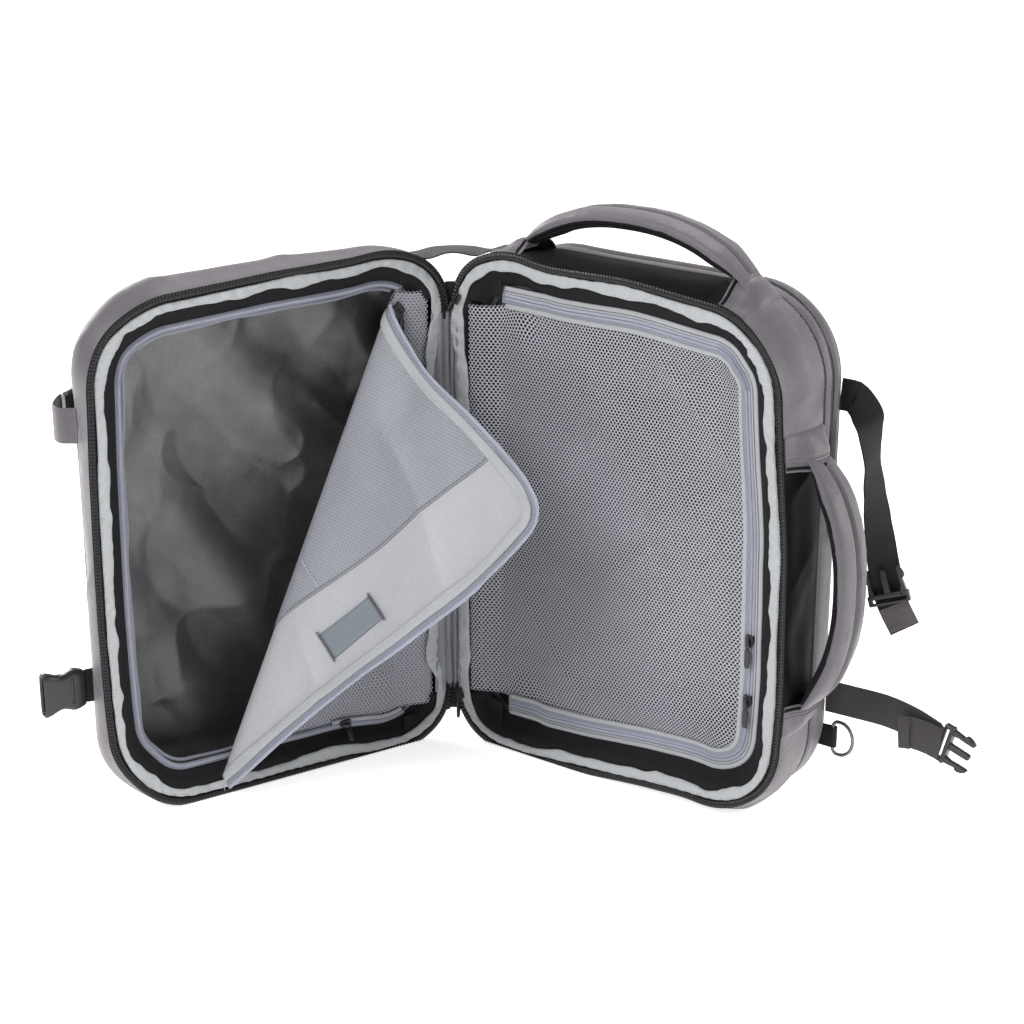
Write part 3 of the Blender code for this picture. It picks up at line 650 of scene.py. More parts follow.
main_shell = swept("main_shell_cloth", "main", RING,
      [(5.0, 3.0), (2.4, 2.4), (0.6, 2.6), (-0.3, 4.2), (-1.8, 11), (-3.0, 24), (-3.0, 38), (-1.6, 50),
       (0.4, 56.2),
       (2.4, 58.2)], 40, SHELL, "main", ("main_gusset",), main_wrinkle, slot="shell_fabric")


def darker_between(obj, count, spans, material):
    """Gives the faces of a rim-following grid that lie within the spans of rim length another cloth."""
    obj.data.materials.append(material)
    across = count - 1
    for polygon in obj.data.polygons:
        s = RING[min(polygon.index // across, len(RING) - 1)]
        if any(first < s < last for first, last in spans):
            polygon.material_index = 1


# the bays under the two handles get the darker cloth, partly its own tone and partly painted shade under the
# handles
darker_between(main_shell, 40, ((TOP_MID - 0.110, TOP_MID + 0.106), (SIDE_MID - 0.111, SIDE_MID + 0.111)),
               DARK_BAY_AND_SHADE)


def laptop_wrinkle(s, t, depth):
    """Slack in the laptop compartment's wall, with a groove for its zip."""
    band = np.sin(np.clip((depth - 0.0585) / 0.026, 0, 1) * math.pi)
    groove = ease((s - STARTS[1] + 0.07) / 0.01) * ease((STARTS[4] + 0.13 - s) / 0.01)
    hollow = np.exp(-((depth - 0.071) / 0.0042) ** 4) * 0.0022 * groove
    return band * (noise(s, depth, 0.06, 8, TOTAL) * 0.0014
                   + folds(s, depth, 0.05, 9, TOTAL) * 0.0007) - hollow


swept("laptop_shell_cloth", "main", RING,
      [(2.6, 58.4), (0.2, 60), (-0.7, 64), (-0.5, 71), (-0.6, 78), (0.6, 82), (3.0, 84.6), (6.4, 85.0)], 30,
      SHELL,
      "main", ("laptop_tray",), laptop_wrinkle, slot="shell_fabric")


def outward(shell):
    """Gives the rim's outward direction at lengths s."""
    return lambda s: at(shell, rim(s)[2], 0, rim(s)[3]) - at(shell, 0, 0, 0)


def piping(name, shell, body, inset, depth, radius, material):
    """A thin cord sewn into a seam that follows the rim."""
    middle = on(shell, RING, inset * MM + noise(RING, 0 * RING, 0.04, 11, TOTAL) * 0.0003, depth * MM)
    middle[:, 2] = np.maximum(middle[:, 2], radius + 0.0002)
    return keep(sweep(name, middle, outward(shell)(RING), circle(8, radius, radius), material, closed=True),
                body)


piping("main_seam_piping", "main", "main", 0.2, 58.3, 0.0013, SHELL)
piping("back_seam_piping", "main", "main", 3.0, 85.0, 0.0015, FOAM_EDGE)
for tag, inset, depth in (("a", -1.3, 53.6), ("b", 0.1, 61.4)):
    keep(seam("main_stitches_" + tag, lambda s: on("main", s, inset * MM, depth * MM), STARTS[0],
              STARTS[5] + ARC / 2,
              THREAD, outward("main")), "main")


# ---- zip coils: a tape with a row of nylon teeth ----
def coil(name, where, first, last, tape, teeth, tall, material, cloth_of, body, *nodes, pitch=0.0021,
         slot=None):
    """where(s, across, height) gives points. tape and teeth are (from, to) across in metres."""
    s = np.arange(first, last, pitch / 4)
    ridge = np.abs(np.cos(math.pi * (s - first) / pitch)) ** 0.7
    lines = np.linspace(teeth[0], teeth[1], 7)
    dome = np.sin(np.linspace(0.12, math.pi - 0.12, 7)) ** 0.6
    high = 0.0001 + dome[None, :] * (0.10 + 0.90 * ridge[:, None]) * tall
    lean = (np.arange(7)[None, :] - 3) * pitch * 0.03
    points = where(s[:, None] + lean, lines[None, :] + 0 * high, high)
    keep(lay(name, points, material), body, *nodes, slot=slot)
    t = np.arange(first - 0.004, last + 0.004, 0.003)
    edge = np.linspace(tape[0], tape[1], 5)
    ruffle = noise(t, 0 * t, 0.03, 12, TOTAL)[:, None] * 0.0003
    flat = where(t[:, None], edge[None, :] + ruffle, np.full((len(t), 5), -0.0002))
    keep(lay(name + "_tape", flat, cloth_of, thick=0.0006), body, slot=slot)


def rim_coil(shell, depth, slope=0.0):
    """Places a coil on a rim; its tape slopes into the shell beyond the teeth."""
    return lambda s, a, h: on(shell, s, a, depth - h + slope * np.maximum(a - 0.0052, 0.0), 1.0)


coil("main_coil", rim_coil("main", 0.0026, 0.30), ZIP_FIRST, ZIP_LAST, (-0.0008, 0.0108), (-0.0004, 0.0050),
     0.0024,
     COIL_BLACK, TAPE_BLACK, "main", "main_zip", pitch=0.0030, slot="coil_black")
coil("front_coil", rim_coil("front", 0.0026, 0.30), ZIP_FIRST, ZIP_LAST, (-0.0008, 0.0108), (-0.0004, 0.0050),
     0.0024,
     COIL_BLACK, TAPE_BLACK, "front", "front_zip", pitch=0.0030, slot="coil_black")
coil("laptop_coil", lambda s, a, h: on("main", s, 0.0012 - h, 0.071 + a, None), STARTS[1] - 0.060,
     STARTS[4] + 0.120, (-0.0068, 0.0068), (-0.0024, 0.0024), 0.0013, COIL_BLACK, TAPE_BLACK, "main",
     "laptop_zip",
     slot="coil_black")


# ---- wavy binding round each rim, widening beside the spine ----
def binding(shell, body, node, seed, spine_mid, spine_half):
    """The light tape round a rim: a flattened, puckered tube that widens beside the spine."""
    s = np.arange(0, TOTAL, 0.0022)
    near = np.minimum(np.abs(s - STARTS[1] / 2), TOTAL + STARTS[1] / 2 - s)
    spine = 1 - ease((near - 0.149) / 0.050)
    edge = noise(s, 0 * s, 0.034, seed, TOTAL) * 0.0015 + noise(s, 0 * s, 0.013, seed + 1, TOTAL) * 0.0015
    edge += 0.0016 * folds(s, 0 * s, 0.040, seed + 4, TOTAL) - 0.0005
    sway_in = noise(s, 0 * s, 0.045, seed + 2, TOTAL) * (0.0007 + 0.0014 * spine)
    lift = noise(s, 0 * s, 0.024, seed + 3, TOTAL) * 0.0011
    mid = (0.0106 + (spine_mid - 0.0106) * spine) + sway_in + edge * 0.4
    half = 0.0044 + (spine_half - 0.0044) * spine + edge * 0.6
    t = np.arange(22) / 22 * 2 * math.pi
    a, b = squarish(t, 0.75, 0.85).T
    crown = 1 + 0.35 * noise(s[:, None], (a * 0.01)[None, :], 0.013, seed + 5, TOTAL)
    inset = mid[:, None] + half[:, None] * a[None, :]
    depth = 0.0028 + lift[:, None] * 0.6 - 0.0016 * b[None, :] * crown
    slant = np.cos((s[:, None] + 0.6 * half[:, None] * a[None, :]) / 0.0125 * 2 * math.pi
                   + 7 * noise(s, 0 * s, 0.06, seed + 6, TOTAL)[:, None])
    pucker = slant * 0.00075 * (b[None, :] > 0) * (0.4 + 0.6 * noise(s, 0 * s, 0.05, seed + 7,
                                                                     TOTAL)[:, None] ** 2)
    obj = lay(shell + "_binding_tape", on(shell, s[:, None], inset, depth - pucker, 1.0), BINDING,
              wrap_u=True, wrap_v=True)
    keep(obj, body, node, slot="binding")
    out = -axis(shell, "depth")
    keep(seam(shell + "_binding_stitches", lambda v: on(shell, v,
                                                        np.interp(v % TOTAL, s, mid - half) + 0.0013,
                                                        np.interp(v % TOTAL, s, lift) * 0.6 + 0.0013, 1.0),
              STARTS[1], TOTAL, THREAD_LIGHT, out, 0.0032, 0.0022, 0.0003), body)


binding("main", "main", "main_binding", 20, 0.0085, 0.0062)
binding("front", "front", "front_binding", 31, 0.0180, 0.0056)


# ---- dark facing band between the binding and the inner zip, darted at the corners ----
def facing(shell, body, node, profile, seed):
    """The dark band from a rim's binding in to its inner zip."""
    def wrinkle(s, t, depth):
        darts = 0
        for k in (1, 3, 5, 7):
            for shift in (-0.012, 0.016):
                darts = darts + np.exp(-((s % TOTAL - STARTS[k] - ARC / 2 - shift) / 0.0016) ** 2)
        soft = noise(s, t * 0.03, 0.040, seed,
                     TOTAL) * 0.0011 + folds(s, t * 0.02, 0.028, seed + 1, TOTAL) * 0.0008
        return np.sin(t * math.pi) * (soft + 0.0006) - darts * 0.0014 * np.sin(t * math.pi) ** 0.5
    swept(shell + "_facing_band", shell, np.arange(STARTS[1] + 0.040, TOTAL - 0.038, 0.0022), profile, 14,
          FACING,
          body, (node,), wrinkle, wrap=False, floor=False, slot="facing", hold=1.0)


facing("main", "main", "main_facing", [(8, 4.6), (14.5, 3.6), (21, 6.6), (26, 12.4), (31, 18.0)], 40)
facing("front", "front", "front_facing", [(8, 4.6), (14.5, 3.6), (20.5, 6.0), (24, 10.4), (28.6, 14.6)], 44)


# ---- net panels: strands round hexagonal holes ----
def net(name, keep_if, place, pitch, row, material, body, nodes=(), slot=None):
    """A net of long holes over flat points where keep_if(a, u), put in space by place(a, u, lower)."""
    i, j = np.meshgrid(np.arange(-2, int(WIDTH / pitch) + 2), np.arange(-2, int(HEIGHT / row) + 2),
                       indexing="ij")
    i, j = i.ravel(), j.ravel()
    ci, cj = 2 * i + j % 2, 30 * j
    a, u = ci * pitch / 2, cj * row / 30
    inside = keep_if(a, u)
    ci, cj, a, u = ci[inside], cj[inside], a[inside], u[inside]
    hole = 0.70
    ring = [(0, 24), (1, 6), (1, -6), (0, -24), (-1, -6), (-1, 6)]
    keys = np.stack([(ci + x) * 100000 + (cj + y) for x, y in ring], 1)
    unique, back = np.unique(keys.ravel(), return_inverse=True)
    kx, ky = np.floor_divide(unique + 50000, 100000), (unique + 50000) % 100000 - 50000
    outer = place(kx * pitch / 2, ky * row / 30, 0.0)
    inner_a = a[:, None] + np.array([x for x, _ in ring]) * pitch / 2 * hole
    inner_u = u[:, None] + np.array([y for _, y in ring]) * row / 30 * hole
    inner = place(inner_a, inner_u, 0.00035).reshape(-1, 3)
    n = len(unique)
    back = back.reshape(-1, 6)
    own = n + np.arange(len(a) * 6).reshape(-1, 6)
    nxt = [1, 2, 3, 4, 5, 0]
    faces = np.stack([back, own, own[:, nxt], back[:, nxt]], 2).reshape(-1, 4)
    flat = np.concatenate([np.stack([kx * pitch / 2, ky * row / 30], 1),
                           np.stack([inner_a.ravel(), inner_u.ravel()], 1)])
    obj = shape(name, np.concatenate([outer, inner]), faces, material, flat[faces])
    if body:
        return keep(obj, body, *nodes, slot=slot)
    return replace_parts(obj, *nodes)


def spine_rise(a, edge, by):
    """How much a net comes forward as it nears the spine."""
    return (1 - ease((a - edge) / 0.032)) * by


def mesh_place(a, u, lower):
    """Puts the mesh door's flat points in space, with slack, pulls and a few folds at the foot."""
    slack = noise(a + u * 0.4, u, 0.085, 50) * 0.0020 + noise(a, u, 0.035, 51) * 0.0006
    pulls = (folds(a * 0.7 + u * 0.7, a * 0.25, 0.055, 52) - 0.25) * 0.0030
    s, inset = rim_of(a, u)
    free = ease((inset - 0.042) / 0.030)
    low = ease((0.14 - u) / 0.08) * free
    depth = 0.0176 - (slack + pulls) * free - low * folds(u + a * 0.15, a * 0.2, 0.022, 53) * 0.0022
    depth = depth - spine_rise(a, 0.015, 0.0125)
    return face("main", a, u, depth + lower, ease((a - 0.03) / 0.06))


def in_mesh_door(a, u):
    """Whether flat points lie on the mesh door."""
    square = (a > 0.0150) & (u > 0.0460) & (u < HEIGHT - 0.0460)
    return np.where(a < CORNER, square, rim_of(a, u)[1] > 0.0465)


mesh = net("mesh_door_net", in_mesh_door, mesh_place, 0.0034, 0.0025, NET, None, ("mesh_panel",), "mesh_net")
tuple(at("main", 0.033, 0.016, 0.22))
tuple(at("main", 0.046, 0.016, 0.22))
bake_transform(mesh)


def ring_band(name, place, body, low, high, depth, material, first, last, lift=0.0008, wave=0.0003, seed=60,
              slot=None):
    """A flat tape lying along a panel's edge, put in space by place(rim length, inset, depth)."""
    s = np.arange(first, last, 0.0026)
    t = np.linspace(0, 1, 7)
    inset = low + (high - low) * t[None, :] + noise(s, 0 * s, 0.03, seed, TOTAL)[:, None] * wave
    bulge = np.sin(t * math.pi)[None, :] ** 0.5 * lift * (1 + 0.3
                                                          * noise(s, 0 * s, 0.02, seed + 1, TOTAL)[:, None])
    return keep(lay(name, place(s[:, None], inset, depth - bulge), material, thick=0.0006), body, slot=slot)


def held(shell):
    """Like on(), with all of the rim's sway at any depth."""
    return lambda s, inset, depth: on(shell, s, inset, depth, 1.0)


def squared(s, inset, depth):
    """Like held("main"), but the top and bottom runs go straight on to the spine, past the corners."""
    s, inset, depth = spread(s, inset, depth)
    round_it = on("main", s, inset, depth, 1.0)
    hold = sway("main", s) * loose(inset) * 0.2
    top = at("main", CORNER - (STARTS[2] - s), depth, HEIGHT - inset + hold)
    low = at("main", CORNER - (s - STARTS[7]), depth, inset - hold)
    near_top = (s < STARTS[2] + 0.02)[..., None]
    near_low = (s > STARTS[7] - 0.02)[..., None]
    by_top = ease((STARTS[2] + 0.02 - s) / 0.02)[..., None]
    by_low = ease((s - STARTS[7] + 0.02) / 0.02)[..., None]
    made = np.where(near_top, round_it * (1 - by_top) + top * by_top, round_it)
    return np.where(near_low, round_it * (1 - by_low) + low * by_low, made)


def squared_coil(depth):
    return lambda s, a, h: squared(s, a, depth - h)


MESH_FIRST, MESH_LAST = STARTS[2] - 0.031, STARTS[7] + 0.027
coil("mesh_zip_coil", squared_coil(0.0166), MESH_FIRST, MESH_LAST, (0.0296, 0.0392), (0.0362, 0.0386), 0.0012,
     COIL_GREY, TAPE_GREY, "main", "mesh_zip", pitch=0.0016, slot="coil_grey")
ring_band("mesh_zip_near_tape", squared, "main", 0.0292, 0.0332, 0.0164, BAND, MESH_FIRST, MESH_LAST,
          slot="coil_grey")
coil("mesh_door_coil", squared_coil(0.0166), MESH_FIRST, MESH_LAST, (0.0394, 0.0450), (0.0394, 0.0412),
     0.0010,
     COIL_GREY, TAPE_GREY, "mesh_door", pitch=0.0016, slot="coil_grey")
ring_band("mesh_door_tape", squared, "mesh_door", 0.0444, 0.0488, 0.0170, BAND, MESH_FIRST, MESH_LAST, 0.0011,
          slot="coil_grey")
ring_band("mesh_zip_line", squared, "main", 0.0341, 0.0352, 0.0163, BAND, MESH_FIRST, MESH_LAST, 0.0004,
          slot="coil_grey")


def end_tab(name, shell, body, box, deep, seed):
    """A dark cloth tab over an inner zip's end beside the spine, kept inside the rim's rounded corner."""
    a, u = np.meshgrid(np.linspace(box[0], box[1], 22), np.linspace(box[2], box[3], 20), indexing="ij")
    s, inset = rim_of(a, u)
    nx, nz = rim(s)[2:]
    inward = np.maximum(0.0175 - inset, 0.0)
    a, u = a - nx * inward, u - nz * inward
    far = np.abs(u - HEIGHT / 2) - (HEIGHT / 2 - 0.048)
    depth = deep - 0.012 * ease(far / 0.034) - spine_rise(a, 0.012, 0.006) * (1 - ease(far / 0.034))
    depth = depth + noise(a, u, 0.02, seed) * 0.0006
    return keep(lay(name, face(shell, a, u, depth, 1.0), WEBBING_DARK, thick=0.0008), body)


end_tab("mesh_zip_end_upper", "main", "main", (0.010, 0.0500, 0.4030, 0.4390), 0.0160, 56)
end_tab("mesh_zip_end_lower", "main", "main", (0.010, 0.0500, 0.0110, 0.0470), 0.0160, 57)
end_tab("divider_end_upper", "front", "front", (0.018, 0.0480, 0.4150, 0.4390), 0.0130, 58)
end_tab("divider_end_lower", "front", "front", (0.018, 0.0520, 0.0110, 0.0350), 0.0130, 59)


# ---- linings: a wrinkled tray inside each shell ----
def tray(name, shell, profile, middle_depth, wrinkle, material, body):
    """A dish: rim-following rings down to the last inset, then shrinking to the middle of the face."""
    s = np.arange(0, TOTAL, 0.0038)
    line = spline(profile, 26) * MM
    points = on(shell, s[:, None], line[None, :, 0], line[None, :, 1])
    last = line[-1]
    a, u, nx, nz = rim(s)
    a, u = a - nx * last[0], u - nz * last[0]
    steps = np.linspace(0, 1, 46)[1:]
    flat_a = a[:, None] * (1 - steps) + WIDTH / 2 * steps
    flat_u = u[:, None] * (1 - steps) + HEIGHT / 2 * steps
    depth = last[1] + (middle_depth - last[1]) * ease(steps)[None, :] + 0 * flat_a
    flat = at(shell, flat_a, depth, flat_u)
    grid = np.concatenate([points, flat], 1)
    own_a = np.concatenate([rim(s)[0][:, None] - nx[:, None] * line[None, :, 0], flat_a], 1)
    own_u = np.concatenate([rim(s)[1][:, None] - nz[:, None] * line[None, :, 0], flat_u], 1)
    own_d = np.concatenate([np.broadcast_to(line[None, :, 1], points.shape[:2]), depth], 1)
    free = np.sin(np.clip(np.linspace(0, 1, grid.shape[1]) * 3, 0, 1) * math.pi / 2)[None, :]
    move = wrinkle(own_a, own_u, own_d) * free
    grid = grid - axis(shell, "depth") * move[..., None]
    obj = lay(name, grid, material, wrap_u=True)
    mesh = obj.data
    uv = np.stack([own_a.ravel(), (own_u + own_d).ravel()], 1)
    index = np.empty(len(mesh.loops), np.int32)
    mesh.loops.foreach_get("vertex_index", index)
    mesh.uv_layers[0].data.foreach_set("uv", uv[index].astype(np.float32).ravel())
    return keep(obj, body)


def main_lining_wrinkle(a, u, d):
    """Soft slack in the main lining."""
    return noise(a, u, 0.09, 70) * 0.004 + folds(a + u, a - u, 0.07, 71) * 0.003


def front_lining_wrinkle(a, u, d):
    """Broad satin folds running from the top far corner down towards the spine."""
    lean, across = a * 0.80 - u * 0.60, a * 0.6 + u * 0.8
    bent = lean + 0.012 * np.sin(across / 0.11 + 1.0)
    broad = np.sin(bent / 0.105 * 2 * math.pi + 1.3 * noise(a, u, 0.16, 74)) * 0.0060
    soft = noise(bent * 1.6, across * 0.55, 0.075, 75) * 0.0075
    creased = ease((noise(bent * 1.5, across * 0.5, 0.09, 77) - 0.15) / 0.5) * 0.0045
    sharp = folds(bent * 1.2, across * 0.6, 0.060,
                  78) * 0.0050 + folds(a * 0.5 - u, a + u * 0.3, 0.045, 79) * 0.0028
    total = broad + soft + creased + sharp + 0.002
    return np.where(total > 0, total, total * 0.15) + noise(a, u, 0.030, 76) * 0.0010


main_tray = tray("main_lining", "main", [(30, 18.8), (14, 22), (7.4, 34), (7.0, 48), (12, 56), (30, 59.2),
                                         (68, 60)],
                 0.0600, main_lining_wrinkle, NET_BACK, "main")
front_tray = tray("front_lining", "front", [(27.5, 14.8), (15, 17), (8.6, 26), (13.5, 40), (19, 49), (34, 56),
                                            (68, 60)],
                  0.0610, front_lining_wrinkle, LINING, "front")
ring_band("front_inner_facing", held("front"), "front", 0.0330, 0.0362, 0.0172, TAPE_GREY, STARTS[1] + 0.075,
          TOTAL - 0.10,
          0.0010, 0.0012, 64)


# ---- front shell: cloth walls and a domed face with a piped seam and a pocket ----
def front_wrinkle(s, t, depth):
    """How far the front shell's cloth stands out at rim length s and depth."""
    band = np.sin(np.clip((depth - 0.003) / 0.041, 0, 1) * math.pi)
    soft = noise(s, depth, 0.07, 80, TOTAL) * 0.0018 + noise(s, depth, 0.03, 81, TOTAL) * 0.0006
    ridges = (folds(s - depth * 1.1, depth * 0.4, 0.055, 82, TOTAL) - 0.3) * 0.0018
    gather = np.cos(s / 0.0078 * 2 * math.pi) * 0.0004 * np.exp(-((depth - 0.044) / 0.008) ** 2)
    top = ease((s % TOTAL - STARTS[1] - 0.03) / 0.10) * ease((STARTS[4] + 0.04 - s % TOTAL) / 0.12)
    return band * (soft + ridges + 0.0085 * top) + gather


swept("front_shell_cloth", "front", RING,
      [(5.0, 3.0), (2.4, 2.4), (0.6, 2.6), (-0.3, 4.2), (-0.4, 12), (0.4, 21), (3.2, 33), (7.4, 42),
       (10.6, 44.2)], 34,
      SHELL, "front", ("front_gusset",), front_wrinkle, slot="shell_fabric")


def dome(a, u, inset):
    """Depth of the front face at an inset from the rim."""
    line = np.array([(8.6, 44.4), (10.2, 49), (13.5, 55), (20, 60.5), (36, 66), (70, 69.6), (110, 70.4),
                     (166, 70.6)])
    return np.interp(inset, line[:, 0] * MM, line[:, 1] * MM)


def dish(name, shell, s, insets, deep, rings, wrinkle, material, body, nodes=(), slot=None):
    """A rounded face: rim-following rings, then rings that shrink to the middle."""
    across, up, nx, nz = (v[:, None] for v in rim(s))
    inset = np.asarray(insets)[None, :] * MM
    a, u = across - nx * inset, up - nz * inset
    steps = np.linspace(0, 1, rings)[1:]
    last_a, last_u = a[:, -1:], u[:, -1:]
    a = np.concatenate([a, last_a * (1 - steps) + WIDTH / 2 * steps], 1)
    u = np.concatenate([u, last_u * (1 - steps) + HEIGHT / 2 * steps], 1)
    inset = np.concatenate([inset + 0 * across, insets[-1] * MM + steps[None, :] * 0.09 + 0 * across], 1)
    depth = deep(a, u, inset) + wrinkle(a, u, inset)
    grid = at(shell, a, depth, u)
    grid[..., 2] = np.maximum(grid[..., 2], 0.0003)
    obj = lay(name, grid, material, wrap_u=True)
    mesh = obj.data
    index = np.empty(len(mesh.loops), np.int32)
    mesh.loops.foreach_get("vertex_index", index)
    mesh.uv_layers[0].data.foreach_set("uv", np.stack([a.ravel(), u.ravel()],
                                                      1)[index].astype(np.float32).ravel())
    return keep(obj, body, *nodes, slot=slot)


def front_face_wrinkle(a, u, inset):
    """Slack in the front face, and the step of its pocket."""
    free = ease((inset - 0.010) / 0.03)
    pocket = 0.0011 * ease((0.27 - u) / 0.004) * ease((inset - 0.028) / 0.004)
    return free * (noise(a, u, 0.08, 84) * 0.0018
                   + (folds(a + 0.6 * u, u - a, 0.07, 85) - 0.3) * 0.0018) + pocket


dish("front_face_cloth", "front", RING, [8.8, 9.2, 10, 11.2, 13, 15.5, 19, 24, 30, 37, 45, 54, 64, 70], dome,
     22,
     front_face_wrinkle, SHELL, "front", ("front_panel",), "shell_fabric")
piping("front_seam_piping", "front", "front", 8.7, 44.2, 0.0016, SHELL)


# ---- the divider: a netted part beside the spine, and a cloth flap folded out over it ----
FOLD_TOP, FOLD_LOW = np.array([0.050, 0.416]), np.array([0.233, 0.034])
FOLD_LINE = (FOLD_LOW - FOLD_TOP) / np.linalg.norm(FOLD_LOW - FOLD_TOP)
FOLD_SIDE = np.array([-FOLD_LINE[1], FOLD_LINE[0]])
FOLD_DEPTH = 0.0133
FOLD_A = at("front", FOLD_TOP[0], FOLD_DEPTH, FOLD_TOP[1])
ALONG = at("front", FOLD_LOW[0], FOLD_DEPTH, FOLD_LOW[1]) - FOLD_A
ALONG = ALONG / np.linalg.norm(ALONG)
INTO = at("front", FOLD_SIDE[0], 0, FOLD_SIDE[1]) - at("front", 0, 0, 0)
SWING = math.radians(-110.3)
OVER = INTO * math.cos(SWING) + np.cross(ALONG, INTO) * math.sin(SWING)
FACE_OUT = np.cross(ALONG, OVER)
HALF_GAP = (math.pi - abs(SWING)) / 2
TO_APEX = (OVER - INTO) / np.linalg.norm(OVER - INTO)
ACROSS = (OVER + INTO) / np.linalg.norm(OVER + INTO)
FLAP_EDGE = spline([(-4, -2), (5, 5), (16, 16), (33, 41), (50, 72), (68, 128), (90, 184), (105, 208),
                    (117, 217),
                    (130, 218.5), (146, 213), (194, 191), (256, 149), (319, 105), (380, 67), (437, 34),
                    (446, 27)], 600) * MM


def fold_radius(p):
    return 0.004 + 0.015 * np.clip(p / 0.441, 0, 1)


def flap_edge(p):
    return np.interp(p, FLAP_EDGE[:, 0], FLAP_EDGE[:, 1])


def flap_low(p):
    return np.interp(p, [0.424, 0.434, 0.446], [0, 0.015, 0.0255])


def flap_at(p, q, lift=0.0):
    """Points of the flap, p along the fold and q out from it. A low q goes back round the fold."""
    p, q, lift = spread(p, q, lift)
    r = fold_radius(p)
    arc = (math.pi / 2 - HALF_GAP)
    flat_from = r / math.tan(HALF_GAP)
    w = q - flat_from + r * arc
    turn = np.clip(w / r, -arc, arc)
    beyond = np.clip(np.abs(w) - r * arc, 0, None)
    middle = r / math.sin(HALF_GAP)
    x = middle - (r + lift) * np.cos(turn)
    y = (r + lift) * np.sin(turn)
    side = np.sign(w)
    x = x + beyond * math.cos(HALF_GAP)
    y = y + beyond * math.sin(HALF_GAP) * side
    edge = flap_edge(p)
    free = ease(beyond / 0.05) * (w > 0)
    near_edge = ease((edge - q) / 0.03)
    wave = noise(p + q * 0.3, q, 0.085, 90) * 0.0046 + noise(p, q, 0.04, 91) * 0.0014
    wave += (folds(p * 0.8 - q * 0.9, p * 0.3 + q * 0.2, 0.075, 92) - 0.3) * 0.0040
    wave -= 0.004 * np.sin(np.clip(q / np.maximum(edge, 0.02), 0, 1) * math.pi) * ease(p / 0.08)
    ruffle = noise(p, 0 * q, 0.030, 93) * 0.0016 * (1 - near_edge)
    out = (wave * near_edge ** 0.5 + ruffle) * free
    return (FOLD_A + ALONG * p[..., None] + TO_APEX * x[..., None] + ACROSS * y[..., None]
            + FACE_OUT * out[..., None])


def flap_grid(p, low, high, count, lift):
    t = np.linspace(0, 1, count)[None, :]
    q = low[:, None] + (high - low)[:, None] * t
    return flap_at(p[:, None], q, lift), q


def flap_uv(obj, p, q):
    mesh = obj.data
    index = np.empty(len(mesh.loops), np.int32)
    mesh.loops.foreach_get("vertex_index", index)
    uv = np.stack([(p[:, None] + 0 * q).ravel(), q.ravel()], 1)
    mesh.uv_layers[0].data.foreach_set("uv", uv[index].astype(np.float32).ravel())


def bend_at_fold(obj):
    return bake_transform(obj)


POCKET = np.array([(0, 0.190), (0.060, 0.165), (0.093, 0.1515), (0.132, 0.124), (0.1995, 0.080),
                   (0.269, 0.030),
                   (0.310, 0.003), (0.450, -0.090)])


def pocket_line(p):
    return np.interp(p, POCKET[:, 0], POCKET[:, 1])


p = np.arange(-0.003, 0.4465, 0.0022)
start = np.where(p > 0.424, flap_low(p), -(fold_radius(p) * 0.9626) + 0.4745 * fold_radius(p) - 0.006)
stop = np.maximum(flap_edge(p) - 0.0055, start + 0.0006)
points, q = flap_grid(p, start, stop, 84, 0.0)
flap = lay("divider_flap_cloth", points, FLAP, flip=True)
flap_uv(flap, p, q)
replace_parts(flap, "divider_flap")
bend_at_fold(flap)

# pocket of grid ripstop between the fold and the slanted seam, stitched down along the seam
pp = np.arange(0.006, 0.306, 0.0024)
high = np.minimum(pocket_line(pp), flap_edge(pp) - 0.0125)
low = -(fold_radius(pp) * 0.9626) + 0.4745 * fold_radius(pp) - 0.003
high = np.maximum(high, low + 0.001)
points, q = flap_grid(pp, low, high, 60, 0.0009)
pocket = lay("divider_pocket_ripstop", points, FLAP_RIPSTOP, flip=True)
flap_uv(pocket, pp, q)
bend_at_fold(pocket)


def flap_stitches(name, line_p, line_q, lift, material):
    """A row of stitches along a line on the flap."""
    points = flap_at(line_p, line_q, lift)
    length = np.concatenate([[0], np.cumsum(np.linalg.norm(np.diff(points, axis=0), axis=1))])
    want = np.arange(0.0016, length[-1], 0.0032)
    even = np.stack([np.interp(want, length, points[:, k]) for k in range(3)], 1)
    along = np.gradient(points, axis=0)
    run = np.stack([np.interp(want, length, along[:, k]) for k in range(3)], 1)
    return keep(seeds(name, even, run, FACE_OUT, 0.0022, 0.0003, material), "flap")


seam_p = np.arange(0.094, 0.285, 0.002)
flap_stitches("pocket_seam_stitches", seam_p, pocket_line(seam_p) - 0.0016, 0.0013, THREAD)
keep(sweep("pocket_seam_edge", flap_at(seam_p, pocket_line(seam_p), 0.0010), FACE_OUT,
           circle(6, 0.0007, 0.0007), FLAP_RIPSTOP), "flap")

# light band inside the free edge, and its zip
edge_line = FLAP_EDGE[(FLAP_EDGE[:, 0] > 0.004)]
run = unit(np.gradient(edge_line, axis=0))
inward = np.stack([run[:, 1], -run[:, 0]], 1)
total_edge = np.concatenate([[0], np.cumsum(np.linalg.norm(np.diff(edge_line, axis=0), axis=1))])
EDGE_LENGTH = total_edge[-1]


def edge_at(s, inset, lift):
    """Points near the flap's free edge: s along it, inset in from it."""
    s, inset, lift = spread(s, inset, lift)
    base = np.stack([np.interp(s, total_edge, edge_line[:, k]) for k in range(2)], -1)
    step = np.stack([np.interp(s, total_edge, inward[:, k]) for k in range(2)], -1)
    spot = base + step * inset[..., None]
    return flap_at(spot[..., 0], spot[..., 1], lift)


